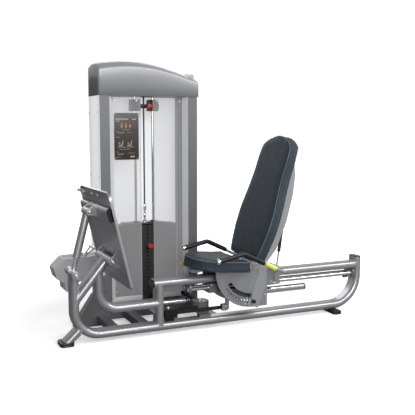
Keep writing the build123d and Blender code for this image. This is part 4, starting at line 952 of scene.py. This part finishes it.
batch = Batch()
on_sheet(batch, rect(0, 0, sheet_w, sheet_h), 0, 0.0024, 0.0015, 0.0006)
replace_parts(batch.piece("placard_plate", "frame", "placard_sheet"), "placard")
ink = Batch()
accent = Batch()
lines = Batch()
INK = 0.0022
TEXT_BARS = (                       # left, bottom, right, top: plain bars where a sheet has lines of text
    (0.010, 0.268, 0.100, 0.274), (0.126, 0.268, 0.152, 0.273), (0.012, 0.256, 0.040, 0.259),
    (0.020, 0.178, 0.070, 0.181), (0.090, 0.181, 0.122, 0.183), (0.012, 0.186, 0.034, 0.188),
    (0.012, 0.150, 0.038, 0.153), (0.030, 0.070, 0.110, 0.072), (0.012, 0.052, 0.030, 0.054),
    (0.022, 0.040, 0.070, 0.042), (0.092, 0.044, 0.145, 0.046), (0.022, 0.034, 0.060, 0.036),
    (0.060, 0.198, 0.112, 0.200), (0.014, 0.018, 0.044, 0.020), (0.112, 0.016, 0.142, 0.026))
for bar in TEXT_BARS:
    on_sheet(ink, rect(*bar), INK, 0.0005, 0.0006)
for x0, tall in ((0.050, 0.034), (0.080, 0.034), (0.108, 0.026)):
    on_sheet(accent, rect(x0, 0.210, x0 + 0.007, 0.210 + tall), INK, 0.0005, 0.003)
    on_sheet(accent, rect(x0 - 0.004, 0.222, x0 + 0.011, 0.228), INK + 0.0002, 0.0006, 0.002)
for x0 in (0.030, 0.092):
    seat = [(0, 0.094), (0.026, 0.094), (0.034, 0.128), (0.029, 0.128), (0.022, 0.100), (0, 0.100)]
    on_sheet(ink, [(x0 + x, z) for x, z in seat], INK, 0.0005)
    on_sheet(ink, rect(x0 - 0.008, 0.084, x0 + 0.046, 0.087), INK, 0.0005)
    arrow = [(-0.004, 0.112), (0.008, 0.118), (0.008, 0.114), (0.016, 0.114), (0.016, 0.110), (0.008, 0.110),
             (0.008, 0.106)]
    on_sheet(accent, [(x0 + x, z) for x, z in arrow], INK, 0.0005)
BORDER = 0.0010
inner_w, inner_h = sheet_w - BORDER, sheet_h - BORDER
for side in ((0.0, 0.0, sheet_w, BORDER), (0.0, inner_h, sheet_w, sheet_h), (0.0, BORDER, BORDER, inner_h),
             (inner_w, BORDER, sheet_w, inner_h)):
    on_sheet(lines, rect(*side), INK + 0.0002, 0.0010)
ink.piece("placard_marks", "frame", "placard_ink", "placard_sheet")
accent.piece("placard_signs", "frame", "placard_accent", "placard_sheet")
lines.piece("placard_border", "frame", "placard_ink", "placard_sheet")

# ---- weight stack fittings -----------------------------------------------------------------------------
stack_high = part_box("lifted_plates")[1]
batch = Batch()
HEAD_TALL = 0.016
head = [(-0.190, 0), (0.178, 0), (0.178, 0.004), (0.108, 0.010), (0.104, HEAD_TALL), (-0.160, HEAD_TALL),
        (-0.166, 0.004), (-0.190, 0.004)]
head = rounded(head, 0.003)
batch.slab(head, Vector((tower_x, middle("lifted_plates").y + 0.045, stack_high.z)), X, Z, 0.090, 0.005)
batch.piece("stack_head", "stack", "weight_iron")
PITCH, HOLE_R = 0.0254, 0.0055
# Black rings proud of the plates round each pin hole: painted shade that widens the dark of the holes.
HOLE_SHADE_RING = ((0, -0.004), (0.0034, -0.0005), (0.0034, 0.0008), (0.0028, 0.0013), (0.0006, 0.0013),
           (-0.0004, 0.0006), (-0.0004, -0.004))
for node, body in (("resting_plates", "frame"), ("lifted_plates", "stack")):
    low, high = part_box(node)
    batch = Batch()
    for k in range(round((high.z - low.z) / PITCH)):
        hole = Vector((tower_x, low.y, low.z + k * PITCH + 0.0125))
        batch.turned_ring(hole, -Y, [(HOLE_R + wider, along) for wider, along in HOLE_SHADE_RING])
    batch.piece(node + "_hole_shade_rings", body, "black_plastic", "rubber")
ROD_R = 0.0095
BUSH = ((0.0108, -0.002), (0.019, 0.0), (0.020, 0.002), (0.020, 0.006), (0.017, 0.009), (0.0108, 0.009),
        (0.0104, 0.004))
rod_low, rod_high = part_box("stack_guide_rods")
batch = Batch()
for x in (rod_low.x + ROD_R, rod_high.x - ROD_R):
    batch.lathe(Vector((x, middle("stack_guide_rods").y, stack_high.z + HEAD_TALL)), Z, BUSH)
batch.piece("stack_bushes", "stack", "black_plastic")
pin_low, pin_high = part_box("selector_pin")
pin_at = Vector((middle("selector_pin").x, pin_low.y, middle("selector_pin").z))
batch = Batch()
batch.lathe(pin_at, Y, [(0.007, 0.0), (0.0138, 0.001), (0.0162, 0.005), (0.0167, 0.010), (0.0162, 0.013),
                        (0.0140, 0.016), (0.0140, 0.024), (0.0162, 0.028), (0.0165, 0.041), (0.0150, 0.042)])
batch.piece("pin_knob", "selector_pin", "red_knob")
batch = Batch()
shank_long = pin_high.y - pin_low.y - 0.040
batch.lathe(pin_at + Y * 0.040, Y, [(0.0085, 0.0), (0.0085, 0.006), (0.0060, 0.008), (0.0050, 0.010),
                                    (0.0050, shank_long - 0.006), (0.0028, shank_long)])
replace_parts(batch.piece("pin_shank", "selector_pin", "chrome"), "selector_pin")
add_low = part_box("add_on_weight")[0]
batch = Batch()
batch.lathe(Vector((tower_x, add_low.y - 0.001, add_low.z + 0.032)), Y,
            [(0.007, 0.0), (0.0135, 0.001), (0.0158, 0.005), (0.0162, 0.012), (0.0150, 0.017),
             (0.0150, 0.024), (0.0160, 0.029), (0.0158, 0.038), (0.0135, 0.040)])
batch.piece("add_on_knob", "add_on_weight", "red_knob")


# ---- pivots, bumpers, caps, tips ------------------------------------------------------------------------
def across_ends(batch, x, z, half, size=0.0195):
    """Both ends of a shaft across the main frame."""
    for side in (-1, 1):
        pivot_end(batch, Vector((x, SPINE + side * half, z)), Y * side, size)


shaft_low, shaft_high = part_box("pivot_shafts")
HUB = Vector((shaft_low.x + 0.019, SPINE, shaft_low.z + 0.019))
TILT = Vector((shaft_high.x - 0.019, SPINE, shaft_high.z - 0.019))
batch = Batch()
for point, half in ((HUB, 0.095), (TILT, 0.154)):
    across_ends(batch, point.x, point.z, half)
    batch.lathe(point - Y * half, Y, [(0.0079, 0), (0.0079, 2 * half)])
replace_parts(batch.piece("pivot_pins", "frame", "plated_steel"), "pivot_shafts")

joints = {j["name"]: j for j in frame["joints"]}
recline_at = Vector(joints["recline"]["pos_m"])
LINK_TOP = Vector((-0.896, SPINE, 0.804))
batch = Batch()
across_ends(batch, LINK_TOP.x, LINK_TOP.z, 0.0641, 0.0200)
batch.piece("link_pins", "footplate", "plated_steel")
batch = Batch()
across_ends(batch, recline_at.x, recline_at.z, 0.1195, 0.0205)
batch.piece("recline_pins", "seat", "plated_steel")

tube_low, tube_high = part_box("start_tube")
batch = Batch()
for x, out in ((tube_low.x, -1), (tube_high.x, 1)):
    at = Vector((x - out * 0.0078, SPINE, middle("start_tube").z))
    batch.lathe(at, X * out, [(0.0234, 0), (0.0240, 0.001), (0.0240, 0.0065), (0.0228, 0.0090),
                              (0.0195, 0.0102), (0.012, 0.0104)], 36)
batch.piece("start_tube_plugs", "carriage", "black_plastic")

BUMPER_RIM = 0.001
BUMPER = ((0.9, 0), (1, 0.3), (0.93, 0.38), (0.93, 0.46), (1, 0.54), (1, 0.84), (0.9, 0.96), (0.6, 1))
batch = Batch()
for x, z, out, size, long in ((-0.262, 0.192, X, 0.0176, 0.0235), (0.990, 0.250, -X, 0.0166, 0.0295)):
    profile = [(size * r, long * a) for r, a in BUMPER]
    profile.insert(1, (size, BUMPER_RIM))
    batch.lathe(Vector((x, SPINE, z)) - out * BUMPER_RIM, out, profile, 32)
batch.piece("bumper_tips", "frame", "rubber", "black_plastic")

HANDLE_Y = 0.276                    # the handles' distance from the middle plane
fore = Vector((-0.169, 0, -0.035)).normalized()
tips, flanges = Batch(), Batch()
for side in (-1, 1):
    front = Vector((-0.151, SPINE + side * HANDLE_Y, 0.485))
    tips.lathe(front - fore * 0.004, fore, [(0.0160, 0), (0.0172, 0.001), (0.0172, 0.014), (0.0160, 0.0178),
                                            (0.012, 0.0195), (0.006, 0.0200)], 32)
    flanges.lathe(front - fore * 0.016, fore, [(0.0155, 0), (0.0180, 0.002), (0.0184, 0.004), (0.0180, 0.006),
                                               (0.0160, 0.008)], 32)
tips.piece("handle_tips", "seat", "chrome", "plated_steel")
flanges.piece("grip_flanges", "seat", "rubber")


# ---- feet, mat, tray ---------------------------------------------------------------------------------------
def foot(batch, x, y, half_x, half_y, tall, soft):
    """Rounded rubber pad with a groove round its side."""
    corners = [(x + u * half_x, y + v * half_y) for u, v in ((-1, -1), (1, -1), (1, 1), (-1, 1))]
    outline = [Vector(p) for p in rounded(corners, min(half_x, half_y) * 0.62, 8)]
    inner = inset(outline, soft * 1.2)
    waist = inset(outline, soft * 0.35)
    levels = ((inner, 0.0), (outline, soft * 0.6), (outline, tall * 0.42), (waist, tall * 0.5),
              (waist, tall * 0.62), (outline, tall * 0.7), (outline, tall - soft), (waist, tall - soft * 0.3),
              (inner, tall))
    batch.rings([[Vector((p[0], p[1], z)) for p in ring] for ring, z in levels])


batch = Batch()
foot(batch, -1.042, SPINE, 0.042, 0.061, 0.0238, 0.004)
foot(batch, 0.852, SPINE, 0.032, 0.107, 0.0246, 0.004)
for x in (base_low.x + 0.081, base_high.x - 0.081):
    for y in (front_y + 0.025, rear_y - 0.025):
        foot(batch, x, y, 0.029, 0.022, 0.0139, 0.002)
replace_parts(batch.piece("rubber_pads", "frame", "rubber"), "rubber_feet")

PLATE_TOP, PLATE_LOW = Vector((-0.847, SPINE, 0.940)), Vector((-0.715, SPINE, 0.376))
plate_mid, plate_up = (PLATE_TOP + PLATE_LOW) / 2, (PLATE_TOP - PLATE_LOW).normalized()
plate_out = Vector((plate_up.z, 0, -plate_up.x))
mat_w, mat_h = 0.596 / 2, (PLATE_TOP - PLATE_LOW).length / 2 - 0.022
batch = Batch()
corners = [(-mat_w, -mat_h), (mat_w, -mat_h), (mat_w, mat_h), (-mat_w, mat_h)]
batch.slab(rounded(corners, 0.040, 8), plate_mid, Y, plate_up, 0.0035, 0.001, 2)
PITCH = 0.026                       # spacing of the mat's raised bars
MARGIN, CORNER = (0.022, 0.020), 0.045
for row in range(-9, 10):
    for column in range(-10, 11):
        a, b = column * PITCH, row * PITCH
        if abs(a) > mat_w - MARGIN[0] or abs(b) > mat_h - MARGIN[1]:
            continue
        if abs(a) > mat_w - CORNER and abs(b) > mat_h - CORNER:
            continue
        tilt = math.radians(45 if (row + column) % 2 else -45)
        u = Y * math.cos(tilt) + plate_up * math.sin(tilt)
        v = plate_out.cross(u)
        bar = rounded([(-0.009, -0.0024), (0.009, -0.0024), (0.009, 0.0024), (-0.009, 0.0024)], 0.002, 2)
        batch.slab(bar, plate_mid + Y * a + plate_up * b + plate_out * 0.003, u, v, 0.0020, 0.0006, 1)
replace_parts(batch.piece("tread_mat", "footplate", "rubber"), "foot_mat")


# ---- screws and welds ---------------------------------------------------------------------------------
bolts = Batch()
foot_z = base_low.z + 0.030
for face_x, out in ((frame_low.x, -X), (frame_high.x, X)):
    hex_bolt(bolts, Vector((face_x, front_y, foot_z)) - out * 0.033, -Y, 0.009)
    for y in (front_y + 0.07, rear_y - 0.07):
        hex_bolt(bolts, Vector((face_x, y, foot_z)), out, 0.009)
for x in (panel_low.x + 0.014, gap_low - 0.028, gap_high + 0.028, panel_high.x - 0.014):
    for z in (panel_low.z + 0.030, panel_high.z - 0.030):
        screw(bolts, Vector((x, panel_low.y, z)), -Y, 0.0055)
for dx in (0.008, sheet_w - 0.008):
    for dz in (0.008, sheet_h - 0.008):
        screw(bolts, sheet_at + Vector((dx, -0.0026, dz)), -Y, 0.0026)
for x in (-0.530, -0.039):
    for dx in (-0.014, 0.014):
        hex_bolt(bolts, Vector((x + dx, front_y - 0.030, 0.072)), Z, 0.0065)
cover_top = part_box("corner_pulley_cover")[1].z
for x, y in arc((corner.x, corner.y), 0.040, 45, 285, 2):
    screw(bolts, Vector((x, y, cover_top)), Z, 0.005)
hex_bolt(bolts, Vector((corner.x, corner.y, cover_top)), Z, 0.009)
hex_bolt(bolts, Vector((turn.x, turn.y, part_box("turn_pulley_box")[1].z)), Z, 0.009)
for x in (-0.247, 1.013):
    for side in (-1, 1):
        screw(bolts, Vector((x, SPINE + side * 0.050, 0.286)), Y * side, 0.005)
sides_low, sides_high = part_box("tower_panels")
pale_screws = Batch()
for z in (1.40, 0.98, 0.56, 0.14):
    for y in (front_y + 0.022, rear_y - 0.022):
        screw(pale_screws, Vector((sides_low.x, y, z)), -X, 0.0045)
        screw(pale_screws, Vector((sides_high.x, y, z)), X, 0.0045)
pale_screws.piece("side_screws", "frame", "fold_light", "tower_paint")
bolts.piece("frame_bolts", "frame", "plated_steel")

bolts = Batch()
seat_near = SPINE - 0.111
for x, z in ((0.115, 0.362), (-0.020, 0.366), (0.190, 0.205), (0.262, 0.205), (0.190, 0.170), (0.262, 0.320)):
    screw(bolts, Vector((x, seat_near, z)), -Y, 0.0055)
    screw(bolts, Vector((x, 2 * SPINE - seat_near, z)), Y, 0.0055)
bolts.piece("seat_bolts", "seat", "plated_steel")

bolts = Batch()
for s in (0.120, 0.470):
    for side in (-1, 1):
        at = BACK_FOOT + BACK_UP * s
        screw(bolts, at - BACK_OUT * 0.0775 + Y * side * 0.119, Y * side, 0.0055)
        screw(bolts, at - BACK_OUT * 0.0732 + Y * side * 0.07, -BACK_OUT, 0.006)
bolts.piece("back_bolts", "back", "plated_steel")

bolts = Batch()
for a in (-0.045, 0.083):
    screw(bolts, plate_mid + Y * a + plate_up * 0.252 - plate_out * 0.004, -plate_out, 0.0095)
bolts.piece("footplate_bolts", "footplate", "chrome", "plated_steel")

bolts = Batch()
for x in (-0.100, -0.056, 0.218, 0.262):
    for side in (-1, 1):
        screw(bolts, Vector((x, SPINE + side * 0.054, 0.288)), Y * side, 0.005)
bolts.piece("carriage_bolts", "carriage", "plated_steel")

welds = Batch()
brace_dir = (Vector((-0.785, 0, 0.511)) - Vector((-0.989, 0, 0.262))).normalized()
brace_mid = Vector((-0.880, SPINE, 0.262 + 0.109 * brace_dir.z / brace_dir.x))
leg_dir = Vector((0.101, 0, 0.092)).normalized()
for x, z, along, target in ((0.950, 0.327, X, "frame_loop"), (-0.448, 0.250, Z, "upper_rail"),
                            (-0.448, 0.150, -Z, "frame_loop"), (-0.560, 0.198, X, "front_post"),
                            (-0.839, 0.340, Z, "footplate_brace"),
                            (brace_mid.x, brace_mid.z, -brace_dir, "frame_loop")):
    weld(welds, Vector((x, SPINE, z)), along, target, TUBE_W, TUBE_D)
weld(welds, Vector((-1.020, SPINE, 0.0357)), leg_dir, "frame_loop", 0.096, 0.046)
welds.piece("weld_beads", "frame", "frame_paint")


# ---- stage, light, camera -----------------------------------------------------------------------------
def floor_finish():
    """Pale floor: lit up to the camera, and dim to the metal that it reflects in."""
    made = Finish("floor", (0.9, 0.9, 0.9), 0.8)
    made.vary(1.5, (0.88, 0.88, 0.885), 0.5)
    seen = made.node("ShaderNodeLightPath").outputs["Is Camera Ray"]
    made.color = made.calc("MULTIPLY_ADD", seen, FLOOR_SEEN - FLOOR_MIRRORED)
    made.color.node.inputs[2].default_value = FLOOR_MIRRORED
    made.bsdf.inputs["Emission Color"].default_value = (1, 1, 1, 1)
    away = made.node("ShaderNodeVectorMath")
    away.operation = "LENGTH"
    made.plug(away.inputs[0], made.where)
    glow = made.remap(away.outputs["Value"], FLOOR_NEAR, FLOOR_FAR, FLOOR_GLOW, 1.0)
    made.plug(made.bsdf.inputs["Emission Strength"], made.calc("MULTIPLY", seen, glow))
    made.bsdf.inputs["Specular IOR Level"].default_value = 0.0
    return made.done()


mesh = bpy.data.meshes.new("floor")
mesh.from_pydata([(-30, -30, 0), (30, -30, 0), (30, 30, 0), (-30, 30, 0)], [], [(0, 1, 2, 3)])
floor = bpy.data.objects.new("floor", mesh)
bpy.context.scene.collection.objects.link(floor)
mesh.materials.append(floor_finish())

world = bpy.data.worlds.new("studio")
bpy.context.scene.world = world
world.use_nodes = True
tree = world.node_tree
background = tree.nodes["Background"]
path_kind = tree.nodes.new("ShaderNodeLightPath")
geometry = tree.nodes.new("ShaderNodeNewGeometry")
split = tree.nodes.new("ShaderNodeSeparateXYZ")
strength = tree.nodes.new("ShaderNodeMix")
tree.links.new(geometry.outputs["Incoming"], split.inputs[0])


def dimming(axis, *limits):
    """Light level that changes along one axis of the view direction: from, to, and the two levels."""
    made = tree.nodes.new("ShaderNodeMapRange")
    tree.links.new(split.outputs[axis], made.inputs["Value"])
    for key, value in zip(("From Min", "From Max", "To Min", "To Max"), limits):
        made.inputs[key].default_value = value
    return made


height = dimming("Z", -0.1, -0.9, 0.62, 0.22)
leftward = dimming("X", 0.45, 0.95, 1.0, 0.3)
lit = tree.nodes.new("ShaderNodeMath")
lit.operation = "MULTIPLY"
tree.links.new(height.outputs["Result"], lit.inputs[0])
tree.links.new(leftward.outputs["Result"], lit.inputs[1])
tree.links.new(path_kind.outputs["Is Camera Ray"], strength.inputs["Factor"])
tree.links.new(lit.outputs["Value"], strength.inputs[2])
strength.inputs[3].default_value = 1.05
background.inputs["Color"].default_value = (1, 1, 1, 1)
tree.links.new(strength.outputs[0], background.inputs["Strength"])


def softbox(name, at, aim, wide, tall, power):
    light = bpy.data.lights.new(name, "AREA")
    light.shape = "RECTANGLE"
    light.size, light.size_y, light.energy = wide, tall, power
    obj = bpy.data.objects.new(name, light)
    bpy.context.scene.collection.objects.link(obj)
    obj.location = at
    obj.rotation_euler = (Vector(aim) - Vector(at)).to_track_quat("-Z", "Y").to_euler()


softbox("strip", (1.6, -2.4, 3.2), (0.0, -0.16, 0.3), 6.0, 0.9, 135)
softbox("key", (-1.2, -5.4, 2.2), (0.0, 0.0, 0.8), 3.4, 2.4, 150)
softbox("back", (0.5, 4.5, 3.0), (0.0, 0.0, 0.8), 4.0, 2.0, 70)

camera = bpy.data.objects.new("camera", bpy.data.cameras.new("camera"))
bpy.context.scene.collection.objects.link(camera)
camera.data.lens = 60.55
camera.data.sensor_width = 36.0
camera.location = (-1.959, -4.227, 1.298)
camera.rotation_euler = (math.radians(90 - 6.5), 0, math.radians(-24.5))
bpy.context.scene.camera = camera
bpy.context.scene.view_settings.view_transform = "Standard"
